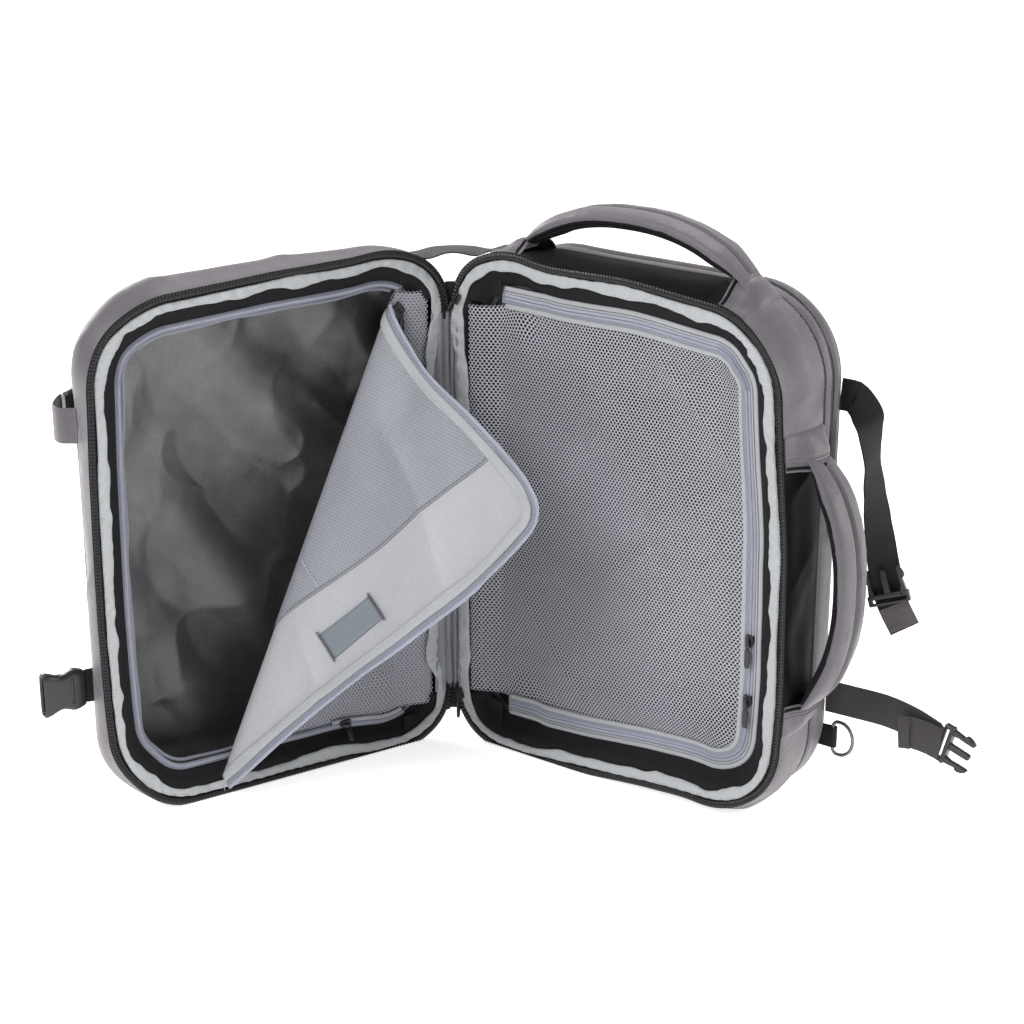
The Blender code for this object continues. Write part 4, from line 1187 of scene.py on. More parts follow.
s_edge = np.arange(0.002, EDGE_LENGTH - 0.002, 0.0024)
t = np.linspace(0, 1, 9)[None, :]
crinkle = noise(s_edge, 0 * s_edge, 0.024, 95)[:, None] * 0.0009
band_in = 0.0165 + noise(s_edge, 0 * s_edge, 0.04, 96)[:, None] * 0.0012
inset = 0.0078 + (band_in + 0.0008 - 0.0078) * t
rise = 0.0010 + (0.0011 + crinkle) * np.sin(t * math.pi) ** 0.6
keep(lay("flap_edge_band", edge_at(s_edge[:, None], inset, rise), BAND, thick=0.0006), "flap")
coil("flap_zip_coil", lambda s, a, h: edge_at(s, a, h + 0.0006), 0.004, EDGE_LENGTH - 0.006, (0.0012, 0.0090),
     (0.0002, 0.0036), 0.0017, COIL_GREY, TAPE_GREY, "flap", pitch=0.0024, slot="coil_grey")
flap_mid = np.arange(0.02, EDGE_LENGTH - 0.03, 0.0032)
keep(seeds("flap_band_stitches", edge_at(flap_mid, 0.0150 + 0 * flap_mid, 0.0021),
           edge_at(flap_mid + 0.001, 0.0150, 0.0021) - edge_at(flap_mid - 0.001, 0.0150, 0.0021), FACE_OUT,
           0.0022, 0.0003, THREAD_LIGHT), "flap")


def patch(name, corners, material, lift):
    """A small four-cornered patch on the flap, corners as (p, q) in mm in order round it."""
    a, b, c, d = (np.array(k, float) * MM for k in corners)
    s, t = np.linspace(0, 1, 12)[:, None, None], np.linspace(0, 1, 12)[None, :, None]
    spot = a * (1 - s) * (1 - t) + b * s * (1 - t) + c * s * t + d * (1 - s) * t
    return keep(lay(name, flap_at(spot[..., 0], spot[..., 1], lift), material, thick=0.0005), "flap")


LABEL_AT = [(288.5, 56), (301, 78), (250, 110.5), (240, 88)]
patch("blank_label", LABEL_AT, LABEL, 0.0011)


def tack(name, a, b, lift, material, half=0.0013, count=16):
    """A dense zigzag of thread between two flap points in mm."""
    a, b = np.array(a) * MM, np.array(b) * MM
    t = np.linspace(0, 1, count)
    across = np.array([-(b - a)[1], (b - a)[0]]) / np.linalg.norm(b - a)
    spot = a + (b - a) * t[:, None] + across * (half * np.where(np.arange(count) % 2, 1, -1))[:, None]
    points = flap_at(spot[:, 0], spot[:, 1], lift)
    return keep(seeds(name, (points[1:] + points[:-1]) / 2, points[1:] - points[:-1], FACE_OUT,
                      float(np.linalg.norm(points[1] - points[0])) * 1.05, 0.00042, material), "flap")


tack("label_tack_low", (287, 53.5), (302.5, 80.5), 0.0020, THREAD, 0.0017, 26)
tack("label_tack_high", (238.5, 85.5), (251.5, 113), 0.0020, THREAD, 0.0017, 26)
tack("pocket_tack", (236.9, 15.5), (251.5, 40.2), 0.0016, THREAD_LIGHT, 0.0007, 14)


def flap_net_place(a, u, lower):
    """Puts flat points on the flap's under side."""
    d = np.stack([a - FOLD_TOP[0], u - FOLD_TOP[1]], -1)
    return flap_at(d @ FOLD_LINE, d @ FOLD_SIDE, -0.0016 - lower)


def on_flap(a, u):
    """Whether flat points lie on the flap, clear of its zip."""
    d = np.stack([a - FOLD_TOP[0], u - FOLD_TOP[1]], -1)
    along, out = d @ FOLD_LINE, d @ FOLD_SIDE
    return (out > fold_radius(along) * 1.5) & (out < flap_edge(along)
                                               - 0.008) & (along < 0.43) & (along > 0.012)


net("flap_net", on_flap, flap_net_place, 0.0046, 0.0037, NET, "flap", (), "mesh_net")


def beside_spine(extra):
    """Whether flat points lie on the part of the divider that stays beside the spine."""
    def test(a, u):
        d = np.stack([a - FOLD_TOP[0], u - FOLD_TOP[1]], -1)
        along, out = d @ FOLD_LINE, d @ FOLD_SIDE
        square = (a > 0.0175) & (u > 0.0330) & (u < HEIGHT - 0.0330)
        inside = np.where(a < CORNER, square, rim_of(a, u)[1] > 0.0345)
        return inside & (out < -fold_radius(along) * 1.437 + extra)
    return test


def divider_place(depth):
    """Puts flat points of the divider in space at a depth, with slack."""
    def place(a, u, lower):
        s, inset = rim_of(a, u)
        free = ease((inset - 0.036) / 0.02)
        soft = noise(a, u, 0.07, 98) * 0.0016 + (folds(a + u * 0.6, u * 0.5, 0.06, 99) - 0.3) * 0.0016
        return face("front", a, u, depth - soft * free + lower - spine_rise(a, 0.021, 0.009),
                    ease((a - 0.03) / 0.06))
    return place


fixed = net("divider_net", beside_spine(0.002), divider_place(0.0146), 0.0034, 0.0025, NET, "front",
            ("divider_panel",), "mesh_net")

# cloth layer behind that net, cut along the fold
u_line = np.arange(0.0345, 0.4160, 0.004)
edge_s = np.interp(u_line, [FOLD_LOW[1], FOLD_TOP[1]], [FOLD_LOW[0], FOLD_TOP[0]])
along_u = (FOLD_TOP[1] - u_line) / 0.382 * 0.4236
edge_a = edge_s - fold_radius(along_u) * 1.437 / 0.902
near_a = 0.0185 + 0 * u_line
t = np.linspace(0, 1, 30)[None, :]
flat_a = near_a[:, None] + np.maximum(edge_a - near_a, 0.0005)[:, None] * t
flat_u = u_line[:, None] + 0 * flat_a
back = keep(lay("divider_cloth", divider_place(0.0162)(flat_a, flat_u, 0.0), FLAP_RIPSTOP), "front",
            slot="ripstop")

coil("divider_coil", rim_coil("front", 0.0134), STARTS[1] + 0.070, TOTAL - 0.075, (0.0275, 0.0332),
     (0.0290, 0.0318), 0.0013, COIL_GREY, TAPE_GREY, "front", "divider_zip", pitch=0.0018, slot="coil_grey")
ring_band("divider_edge_tape", held("front"), "front", 0.0322, 0.0362, 0.0138, BAND, TOTAL - 0.16,
          TOTAL - 0.072,
          0.0009, 0.0004, 66)


# ---- spine: pleated strip, webbing ends and the bridge behind ----
def across_spine(near, far, deep):
    """Points over the hinge in plan, from near inside the main shell to far inside the front one."""
    pairs = [("main", near, 0.0040), ("main", near * 0.5, 0.0032), ("main", 0.0008, 0.0036),
             ("main", -0.0006, deep),
             ("front", -0.0006, deep), ("front", 0.0012, 0.0030), ("front", far * 0.5, 0.0022),
             ("front", far, 0.0030)]
    return spline([at(shell, a, d, 0.0) for shell, a, d in pairs], 49)


def spine_piece(name, low, high, near, far, deep, material, seed, pleats=3.0, amount=0.0013, nodes=(),
                lift=0.0):
    """A pleated strip of cloth over the hinge from low to high, bent across it at the shells' present turn.
    """
    plan = across_spine(near, far, deep)
    z = np.arange(low, high + 1e-6, 0.004)
    t = np.linspace(-1, 1, len(plan))
    tangent = unit(np.gradient(plan, axis=0))
    normal = np.cross(tangent, np.array([0, 0, 1.0]))
    normal *= np.sign((normal @ np.array([1, -1, 0.0])).sum())
    drift = noise(z, 0 * z, 0.11, seed)[:, None] * 1.6
    wave = np.cos(t[None, :] * pleats * math.pi
                  + drift) * amount * (1 + 0.5 * noise(z, 0 * z, 0.05, seed + 1)[:, None])
    crush = noise(z[:, None], t[None, :] * 0.03, 0.018, seed + 2) * amount * 0.45
    fade = (1 - t[None, :] ** 6)
    grid = plan[None] + normal[None] * ((wave + crush) * fade + lift)[..., None]
    grid[..., 2] = z[:, None]
    obj = lay(name, grid, material, thick=0.0007)
    if nodes:
        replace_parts(obj, *nodes)
    tuple(at("main", 0.004, 0.002, 0.22))
    tuple(at("front", 0.004, 0.002, 0.22))
    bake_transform(obj)
    return obj


strip = spine_piece("spine_strip", 0.044, 0.396, 0.0060, 0.0160, 0.0052, STRIP, 110, 4.4, 0.0017,
                    ("spine_leaf_main", "spine_leaf_front"), 0.0006)
spine_piece("spine_end_upper", 0.390, 0.424, 0.0030, 0.0100, 0.0048, WEBBING_DARK, 114, 1.0, 0.0003,
            lift=0.0006)
spine_piece("spine_end_lower", 0.024, 0.050, 0.0030, 0.0100, 0.0048, WEBBING_DARK, 118, 1.0, 0.0003,
            lift=0.0006)

bridge_line = spline([at("main", 0.042, 0.034, 0.4505), at("main", 0.022, 0.035, 0.4480),
                      at("main", 0.006, 0.037, 0.4420),
                      (at("main", -0.004, 0.032, 0.4440) + at("front", -0.004, 0.032, 0.4440)) / 2,
                      at("front", 0.006, 0.037, 0.4390), at("front", 0.022, 0.035, 0.4420),
                      at("front", 0.040, 0.034, 0.4460)], 61)
bridge_turn = turning([axis("main", "depth")] * 3 + [axis("main", "depth") + axis("front", "depth")]
                      + [axis("front", "depth")] * 3, 61)
bridge = sweep("spine_bridge_webbing", bridge_line, bridge_turn, pill(0.026, 0.0016), WEBBING)
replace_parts(bridge, "spine_bridge")
tuple(at("main", -0.002, 0.036, 0.42))
tuple(at("front", -0.002, 0.036, 0.42))
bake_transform(bridge)


# ---- padded handles: two rolls with a seam between, spacer mesh below, ends sewn under cloth patches ----
def handle_line(count):
    """A handle's run from -1 to 1 and how far it stands off the shell."""
    t = np.linspace(-1, 1, count)
    swell = (1 - np.abs(t) ** 2.3) ** 0.85
    return t, 0.0030 + 0.0415 * swell


def padded_handle(name, centre, along, out, seed):
    """A cloth handle of two rolls, with an underside, bound edges and a stitched groove."""
    centre, along, out = (np.array(v, float) for v in (centre, along, out))
    width = np.array([0, 1.0, 0])
    t, rise = handle_line(97)
    path = centre + along * (0.112 * t)[:, None] + out * rise[:, None]
    grow = ease((1 - np.abs(t)) / 0.30 + 0.02)
    wide = 0.0150 + 0.0055 * grow
    tall = 0.0028 + 0.0042 * grow
    a = np.linspace(-1, 1, 25)
    crown = (1 - np.abs(a) ** 2.4) ** 0.5 * (1 - 0.72 * np.exp(-(a / 0.13) ** 2))
    top = np.stack([a, crown], 1)
    under = np.stack([np.linspace(1, 0.70, 5)[1:], -np.sqrt(1 - np.linspace(1, 0.70, 5)[1:] ** 2) * 0.9], 1)
    profile = np.vstack([top, under, [(0.66, -0.45), (-0.66, -0.45)], under[::-1] * (-1, 1)])
    obj = sweep(name + "_cloth", path, width, profile, SHELL, wide, tall)
    mesh = obj.data
    co = np.array([v.co[:] for v in mesh.vertices])
    ring = co.reshape(97, -1, 3)
    if (ring[48, 12] - ring[48, -3]) @ out < 0:
        bpy.data.objects.remove(obj)
        obj = sweep(name + "_cloth", path, width, profile * (1, -1), SHELL, wide, tall)
        mesh = obj.data
        co = np.array([v.co[:] for v in mesh.vertices])
        ring = co.reshape(97, -1, 3)
    hub = ring.mean(1, keepdims=True)
    spoke = ring - hub
    spoke /= np.linalg.norm(spoke, axis=2)[..., None] + 1e-9
    length = t[:, None] * 0.15
    around = np.arange(ring.shape[1])[None, :] * 0.0022
    dent = noise(length, around, 0.016, seed) * 0.00055 + (folds(length, around * 0.5, 0.012, seed + 1)
                                                           - 0.3) * 0.0006
    ring = ring + spoke * (dent * grow[:, None])[..., None]
    mesh.vertices.foreach_set("co", ring.reshape(-1, 3).astype(np.float32).ravel())
    mesh.update()
    keep(obj, name, name, slot="shell_fabric")
    tangent = unit(np.gradient(path, axis=0))
    normal = np.cross(tangent, width)
    normal *= np.sign(normal @ out)[:, None]
    normal[0], normal[-1] = normal[1], normal[-2]
    below = path - normal * (tall * 0.86)[:, None]
    keep(sweep(name + "_underside", below[5:-5], width, pill(1.72, 1.05, 0.5), NET_DARK, wide[5:-5],
               tall[5:-5]), name)
    for shift in (-0.90, 0.90):
        border = path + width * (wide * shift)[:, None] - normal * (tall * 0.52)[:, None]
        keep(sweep(name + ("_edge_a" if shift < 0 else "_edge_b"), border[5:-5], width,
                   circle(8, 0.0013, 0.0013), TAPE_BLACK), name)
    # the black cord laid along the groove is painted shade in the seam's recess
    groove = (path + normal * (tall * 0.33)[:, None])[8:-8]
    keep(sweep(name + "_groove_painted_shade", groove, width, circle(8, 0.0012, 0.0006), TAPE_BLACK), name)
    keep(seeds(name + "_stitches", groove, tangent[8:-8], normal[8:-8], 0.0017, 0.00065, THREAD), name)
    return obj


TOP_CENTRE = at("main", WIDTH / 2, 0.034, HEIGHT + 0.0005)
SIDE_CENTRE = at("main", WIDTH + 0.001, 0.033, SIDE_HANDLE_UP)
padded_handle("top_handle", TOP_CENTRE, (1, 0, 0), (0, 0, 1), 130)
padded_handle("side_handle", SIDE_CENTRE, (0, 0, 1), (1, 0, 0), 134)


def handle_patch(name, middle, toward, seed):
    """A cloth band sewn over a handle's end: a raised pocket, a dark bound edge and double stitches."""
    s = np.linspace(middle - 0.019, middle + 0.019, 37)
    d = np.linspace(0.0045, 0.0565, 49)
    x = (s[:, None] - middle) / 0.019 * toward
    y = (d[None, :] - 0.034) / 0.021
    pocket = 0.0098 * ease((x + 0.75) / 1.1) * np.exp(-np.abs(y / (0.66 + 0.30 * (x + 1) / 2)) ** 4)
    rim_fade = ease((1 - np.abs(d[None, :] - 0.0305) / 0.026) / 0.10)
    lump = (pocket + 0.0007 * ease((1 - np.abs(x)) / 0.08)) * rim_fade - 0.0034 * ease((-x - 0.35) / 0.4)
    lump = lump + noise(s[:, None], d[None, :], 0.014, seed, TOTAL) * 0.0007 * rim_fade
    base = np.interp(d, [0.0042, 0.011, 0.024, 0.038, 0.050, 0.0565],
                     [0.0, -0.0016, -0.0028, -0.0028, -0.0014, 0.0004])[None, :]
    obj = lay(name + "_patch", on("main", s[:, None], base - 0.0008 - lump, d[None, :] + 0 * x), SHELL,
              thick=0.0010)
    keep(obj, "main", name, slot="shell_fabric")
    face_out = outward("main")(np.array([middle]))[0]
    lip = 33 if toward > 0 else 3
    edge_line = on("main", s[lip] + 0 * d, (base[0] - 0.0016 - lump[lip]), d)
    keep(sweep(name + "_lip", edge_line, face_out, circle(8, 0.0015, 0.0013), TAPE_BLACK), "main")
    for tag, row in (("a", 29 if toward > 0 else 7), ("b", 26 if toward > 0 else 10)):
        line = on("main", s[row] + 0 * d, (base[0] - 0.0016 - lump[row]), d)
        keep(seeds(name + "_stitches_" + tag, line[1:-1], np.gradient(line, axis=0)[1:-1], face_out, 0.0009,
                   0.0003, THREAD), "main")


handle_patch("top_anchor_near", TOP_MID - TOP_ANCHOR, 1, 140)
handle_patch("top_anchor_far", TOP_MID + TOP_ANCHOR, -1, 142)
handle_patch("side_anchor_upper", SIDE_MID - SIDE_ANCHOR, 1, 144)
handle_patch("side_anchor_lower", SIDE_MID + SIDE_ANCHOR, -1, 146)


# ---- compression straps ----
def strap(name, path, turns, material, count, width):
    """A band of webbing along a path, its flat side turning with it."""
    obj = sweep(name + "_webbing", spline(path, count), turning(turns, count), pill(width, 0.0016), material)
    return keep(obj, name, name, slot="webbing")


UP_PATH = [(0.1640, 0.0570, 0.3622), (0.1720, 0.0576, 0.3620), (0.178, 0.058, 0.3605), (0.1885, 0.059, 0.346),
           (0.193, 0.060, 0.317), (0.196, 0.061, 0.290), (0.203, 0.062, 0.247), (0.2105, 0.063, 0.212),
           (0.2175, 0.063, 0.192), (0.2310, 0.062, 0.172)]
UP_TURNS = [(0, .15, 1), (0, .15, 1), (0, .35, .9), (-.05, .85, .5), (.2, .97, .1), (.45, .88, .05),
            (.66, .72, .1),
            (.80, .58, .12), (.95, .28, .2), (.9, .28, .4)]
up_strap = strap("upper_strap", UP_PATH, UP_TURNS, WEBBING_DARK, 90, 0.0265)
up_strap.data.materials.append(WEBBING_TAIL)
for polygon in up_strap.data.polygons[80 * 20:]:
    polygon.material_index = 1
LOW_PATH = [(0.1640, 0.0574, 0.096), (0.178, 0.058, 0.0962), (0.190, 0.0592, 0.096), (0.220, 0.061, 0.0955),
            (0.246, 0.060, 0.092), (0.268, 0.058, 0.086)]
strap("lower_strap", LOW_PATH, [(0, 0, 1.0)] * 6, WEBBING, 60, 0.0290)


# ---- wire rings ----
for tag, sign in (("left", -1), ("right", 1)):
    pin = np.array([sign * 0.1728, RIM_Y + 0.087, 0.060])
    loop = np.array([(0, -11), (0, -4), (0, 4), (0, 11), (2.2, 14.2), (6, 15), (11, 14), (16.5, 9), (19, 0),
                     (16.5, -9),
                     (11, -14), (6, -15), (2.2, -14.2)]) * MM
    closed = spline(np.vstack([loop, loop[:1]]), 73)[:-1]
    path = pin + np.stack([sign * closed[:, 0], 0 * closed[:, 0], closed[:, 1]], 1)
    keep(sweep("wire_ring_" + tag, path, (0, 1.0, 0), circle(10, 0.0016, 0.0016), METAL, closed=True),
         "ring_" + tag,
         "d_ring_" + tag, slot="metal")
    tab = np.array([(0.158, 0), (0.166, 0), (0.1712, 0), (0.1738, 0.0003), (0.1753, 0.0021), (0.1744, 0.0037),
                    (0.1716, 0.0036), (0.166, 0.0022), (0.158, 0.0022)])
    t_line = spline(tab, 30)
    path = np.stack([sign * t_line[:, 0], RIM_Y + 0.0858 + t_line[:, 1], 0 * t_line[:, 0] + 0.060], 1)
    keep(sweep("ring_tab_webbing_" + tag, path, (0, 0, 1.0), pill(0.0195, 0.0012), WEBBING_DARK), "main",
         "ring_tab_" + tag, slot="webbing")


# ---- hard parts ----
def plate(name, outline, root, along, side, thick, material, round_by):
    """A flat moulded shape of (along, side) millimetres with rounded edges."""
    along, side = unit(along), unit(side)
    side = unit(side - along * (side @ along))
    up = np.cross(along, side)
    line = np.array(outline, float) * MM
    base = np.asarray(root, float) + along * line[:, :1] + side * line[:, 1:]
    n = len(line)
    points = np.concatenate([base - up * thick / 2, base + up * thick / 2])
    faces = [list(range(n))[::-1], list(range(n, 2 * n))]
    faces += [[k, (k + 1) % n, n + (k + 1) % n, n + k] for k in range(n)]
    obj = shape(name, points, faces, material)
    edge = obj.modifiers.new("edges", "BEVEL")
    edge.width, edge.segments, edge.limit_method, edge.angle_limit = round_by, 3, "ANGLE", math.radians(25)
    edge.harden_normals = True
    return obj


def zip_slider(tag, pull, spot, along, out, drop, lean, material=SLIDER_METAL):
    """A slider body with its crown, and a cord pull with a moulded end hanging from it."""
    along, out = unit(along), unit(out)
    side = np.cross(along, out)
    spot = np.asarray(spot, float)
    outline = [(-5.4, -1.5), (-4.4, -2.6), (-1.5, -3.5), (2.2, -3.6), (4.6, -3.4), (5.4, -2.6), (4.6, -0.9),
               (4.6, 0.9),
               (5.4, 2.6), (4.6, 3.4), (2.2, 3.6), (-1.5, 3.5), (-4.4, 2.6), (-5.4, 1.5)]
    upper = plate(tag + "_body", outline, spot + out * 0.0024, along, side, 0.0014, material, 0.0005)
    keep(upper, tag, tag, slot="metal")
    lower = plate(tag + "_wing", outline, spot + out * 0.0002, along, side, 0.0009, material, 0.0003)
    keep(lower, tag)
    crown = spot + np.array([along * a + out * b for a,
                             b in ((-0.0040, 0.0024), (-0.0034, 0.0042), (-0.0016, 0.0056),
                                                               (0.0010, 0.0056), (0.0028, 0.0044),
                                   (0.0034, 0.0024))])
    keep(sweep(tag + "_crown", spline(crown, 22), side, pill(0.0024, 0.0009), material), tag)
    hang = spot + out * 0.0049
    down = unit(np.array([0, 0, -1.0]) + out * lean)
    wide = unit(np.cross(down, out))
    front = np.cross(wide, down)
    front = front * np.sign(front @ out)
    loop = hang + np.array([down * a + wide * b for a,
                            b in ((-0.0008, 0), (0.0004, 0.0014), (0.0035, 0.0015), (0.0062, 0.0008),
                                                             (0.0062, -0.0008), (0.0035, -0.0015),
                                  (0.0004, -0.0014))])
    closed = spline(np.vstack([loop, loop[:1]]), 31)[:-1]
    keep(sweep(pull + "_loop", closed, front, circle(6, 0.0005, 0.0005), material, closed=True), pull)
    t = np.linspace(0, 1, 40)
    path = hang + down * (0.0048 + (drop - 0.0052) * t)[:, None]
    half = 0.0016 + 0.0010 * ease(t / 0.3)
    half = half * np.sqrt(np.clip(1 - ((t - 0.5) / 0.5) ** 8, 0.02, 1))
    deep = 0.0011 * np.sqrt(np.clip(1 - ((t - 0.5) / 0.5) ** 8, 0.04,
                                    1)) * (1 - 0.16 * (np.cos(t * 26 * math.pi) > 0.3) * (t > 0.45)
                                           * (t < 0.86))
    cord = sweep(pull + "_tab", path, wide, circle(14), PLASTIC, half, deep)
    return keep(cord, pull, pull, slot="webbing")


FRONTWARD, UPWARD, OUT_X = np.array([0, -1.0, 0]), np.array([0, 0, 1.0]), np.array([1.0, 0, 0])
zip_slider("mesh_slider_upper", "mesh_pull_upper", at("main", WIDTH - 0.0356, 0.0162, 0.162), UPWARD,
           FRONTWARD, 0.024, 0, PLASTIC)
zip_slider("mesh_slider_lower", "mesh_pull_lower", at("main", WIDTH - 0.0356, 0.0162, 0.108), UPWARD,
           FRONTWARD, 0.024, 0, PLASTIC)
for tag, s_mid, turn, drop, lean in (("upper", ZIP_FIRST + 0.009, 1, 0.018, 0.5),
                                     ("lower", ZIP_LAST - 0.009, -1, 0.024, 0.0)):
    spot = on("main", s_mid, -0.0005, 0.0, 0.0)
    zip_slider("main_slider_" + tag, "main_pull_" + tag, spot,
               on("main", s_mid + turn * MM, -0.0005, 0.0, 0.0) - spot,
               on("main", s_mid, -0.0015, 0.0, 0.0) - spot, drop, lean)
zip_slider("laptop_slider", "laptop_pull", at("main", WIDTH + 0.0008, 0.071, 0.262), UPWARD, OUT_X, 0.024,
           0.0)
spot = on("front", STARTS[1] + CORNER * math.radians(40), 0.0314, 0.0123, 0.0)
zip_slider("divider_slider_top", "divider_pull_top", spot,
           on("front", STARTS[1] + CORNER * math.radians(40) + MM, 0.0314, 0.0123, 0.0) - spot,
           -axis("front", "depth"), 0.028, 0.0)
zip_slider("divider_slider_low", "divider_pull_low", at("front", 0.104, 0.0123, 0.0314),
           -axis("front", "across"),
           -axis("front", "depth"), 0.0145, 0.62)


def prongs(tag, body, node, root, along, side):
    """The male half of a side-release buckle: a slotted base, two barbed prongs and a middle guide."""
    along = unit(along)
    side = unit(np.asarray(side, float) - along * (np.asarray(side, float) @ along))
    up = np.cross(along, side)
    root = np.asarray(root, float)
    first = plate(tag + "_base", [(6.0, -16.8), (6.6, -17.4), (9.2, -17.2), (9.8, -15.5), (9.8, 15.5),
                                  (9.2, 17.2), (6.6, 17.4),
                                  (6.0, 16.8)], root, along, side, 0.0068, PLASTIC, 0.0011)
    keep(first, body, node, slot="plastic")
    keep(plate(tag + "_bar", [(0.2, -17.4), (2.6, -17.5), (2.6, 17.5), (0.2, 17.4)], root, along, side,
               0.0042,
               PLASTIC, 0.0010), body)
    for sign in (-1, 1):
        keep(plate(tag + "_cheek_" + "ab"[sign > 0],
                   [(0.4, 14.4 * sign), (0.4, 17.5 * sign), (9.0, 17.5 * sign),
                                                      (9.0, 14.4 * sign)][::sign], root, along, side, 0.0062,
                   PLASTIC,
                   0.0012), body)
        prong = [(8.6, 10.6), (8.6, 16.2), (14, 15.6), (19.5, 14.8), (21.3, 17.0), (23.5, 17.1), (27, 16),
                 (30.2, 13.8),
                 (31, 12.4), (29.5, 11.6), (22, 11.6), (15, 12.0)]
        keep(plate(tag + "_prong_" + "ab"[sign > 0], [(a, b * sign) for a, b in prong][::sign], root, along,
                   side,
                   0.0052, PLASTIC, 0.0010), body)
    keep(plate(tag + "_guide", [(8.6, -3.4), (12, -2.8), (28, -2.6), (29.4, -1.6), (29.4, 1.6), (28, 2.6),
                                (12, 2.8), (8.6, 3.4)],
               root, along, side, 0.0044, PLASTIC, 0.0009), body)
    for shift in (0.0016, -0.0016):
        keep(sweep(tag + "_rib_" + "ab"[shift > 0],
                   root + along * 0.0078 + up * shift * 2 + side * np.linspace(-0.013, 0.013, 9)[:, None],
                   along, circle(8, 0.0008, 0.0008), PLASTIC), body)
    return first


UP_RISE, UP_SIDE = np.array([-0.33035, 0, 0.943858]), np.array([0.95, 0.28, 0.12])
UP_AT = np.array([0.218987, 0.057731, 0.192521])
prongs("upper_male", "upper_buckle", "upper_male_buckle", UP_AT, UP_RISE, UP_SIDE)
LOW_DIR, LOW_AT = np.array([0.961075, -0.08737, -0.262111]), np.array([0.269442, 0.057869, 0.085607])
prongs("lower_male", "lower_buckle", "lower_male_buckle", LOW_AT + LOW_DIR * 0.002, LOW_DIR, UPWARD)

# webbing turned back through each buckle, with a folded and stitched end
tail = spline([LOW_AT + LOW_DIR * a * MM + np.array([0, b, c]) * MM for a, b, c in
               ((-9, 0.2, 0.4), (-1, -0.6, 0), (3.2, -2.6, 0), (4.6, -4.6, 0), (1.6, -6.0, -0.6),
                (-8, -5.6, -2), (-22, -6.6, -5),
                (-34, -9.5, -9))], 44)
keep(sweep("lower_strap_tail", tail, (0.16, 0.0, 1.0), pill(0.0285, 0.0016), WEBBING), "lower_strap",
     slot="webbing")
hem = tail[-9:] + np.array([0, -0.0016, 0])
keep(sweep("lower_strap_hem", hem, (0.16, 0.0, 1.0), pill(0.0290, 0.0018), WEBBING), "lower_strap")
up_out = np.cross(UP_RISE, unit(UP_SIDE - UP_RISE * (UP_SIDE @ UP_RISE)))
up_out = -up_out if up_out[1] > 0 else up_out


def hem_line(name, path, along, width, body, out):
    """A row of stitches across a webbing's end."""
    span = unit(along)
    points = path + span * np.arange(-width / 2 + 0.002, width / 2 - 0.001, 0.0030)[:, None]
    keep(seeds(name, points, np.tile(span, (len(points), 1)), out, 0.0020, 0.0003, THREAD), body)


hem_line("lower_tail_stitches", tail[-8] + np.array([0, -0.0027, 0]), (0.16, 0, 1), 0.028, "lower_strap",
         (0, -1.0, 0))
hem_line("upper_tail_stitches", np.array([0.2285, 0.0615, 0.1757]) + up_out * 0.0010, (.9, .28, .4), 0.028,
         "upper_strap", up_out)


def socket(tag, body, node, root, along, side):
    """The socket half of a side-release buckle: a waisted shell with an open mouth and a webbing bar."""
    along, side = unit(along), unit(side)
    up = np.cross(along, side)
    root = np.asarray(root, float)
    sections = [(0.0, 14.0, 3.6), (0.8, 15.4, 4.6), (3, 16.4, 5.2), (7, 17.8, 5.5), (10, 18.2, 5.6),
                (13, 17.6, 5.6), (17, 15.9, 5.5),
                (20, 15.0, 5.5), (23, 15.2, 5.5), (27, 16.6, 5.6), (31, 18.4, 5.8), (35, 19.3, 5.9),
                (36.6, 19.2, 5.8),
                (37.2, 18.4, 5.2), (36.8, 17.2, 4.2), (35, 16.5, 3.7), (24, 14.0, 3.4), (12, 13.4, 3.4)]
    t = np.linspace(0, 2 * math.pi, 41)[:-1]
    ring = squarish(t, 0.45, 0.45)
    grid = np.array([root + along * s * MM + side * (ring[:, :1] * a * MM) + up * (ring[:, 1:] * b * MM)
                     for s, a, b in sections])
    shell = lay(tag + "_shell", grid, PLASTIC, wrap_v=True)
    for end in (0, -1):
        centre = grid[end].mean(0)
        fan = np.stack([grid[end], np.tile(centre, (len(t), 1))])
        keep(lay(tag + "_end_" + "ab"[end], fan, PLASTIC, wrap_v=True), body)
    keep(shell, body, node, slot="plastic")
    for level in (-1, 1):
        keep(sweep(tag + "_ridge_" + "ab"[level > 0], root + along * 0.0125 + up * (level * 0.0056)
                   + side * np.linspace(-0.011, 0.011, 9)[:, None],
                   along, circle(8, 0.0011, 0.0006), PLASTIC), body)
    return shell


AWAY = unit(axis("front", "across"))
SOCKET_LOW = at("front", WIDTH + 0.005, 0.030, 0.118)
socket("lower_socket", "socket_lower", "female_buckle_lower", SOCKET_LOW + AWAY * MM, AWAY, UPWARD)
SOCKET_UP = at("front", WIDTH - 0.0095, 0.075, 0.343)
socket("upper_socket", "socket_upper", "female_buckle_upper", SOCKET_UP - AWAY * MM, -AWAY, UPWARD)
low_tab = spline([at("front", WIDTH + a * MM, d * MM, 0.118) for a, d in
                  ((-3, 27.0), (0.4, 28.2), (3.2, 28.4), (5.0, 29.4), (5.2, 31.0), (3.4, 31.8), (0.6, 31.6),
                   (-3, 31.4))], 30)
keep(sweep("socket_tab_lower_webbing", low_tab, UPWARD, pill(0.0285, 0.0013), WEBBING_DARK), "front",
     "socket_tab_lower", slot="webbing")
up_tab = spline([at("front", WIDTH + a * MM, d * MM, 0.343) for a, d in
                 ((-2.6, 30), (1.5, 33), (8, 37.5), (9.4, 44), (7.6, 53), (-2, 68), (-8, 74))], 40)
keep(sweep("socket_tab_upper_webbing", up_tab, UPWARD, pill(0.0300, 0.0016), SHELL), "front",
     "socket_tab_upper",
     slot="shell_fabric")


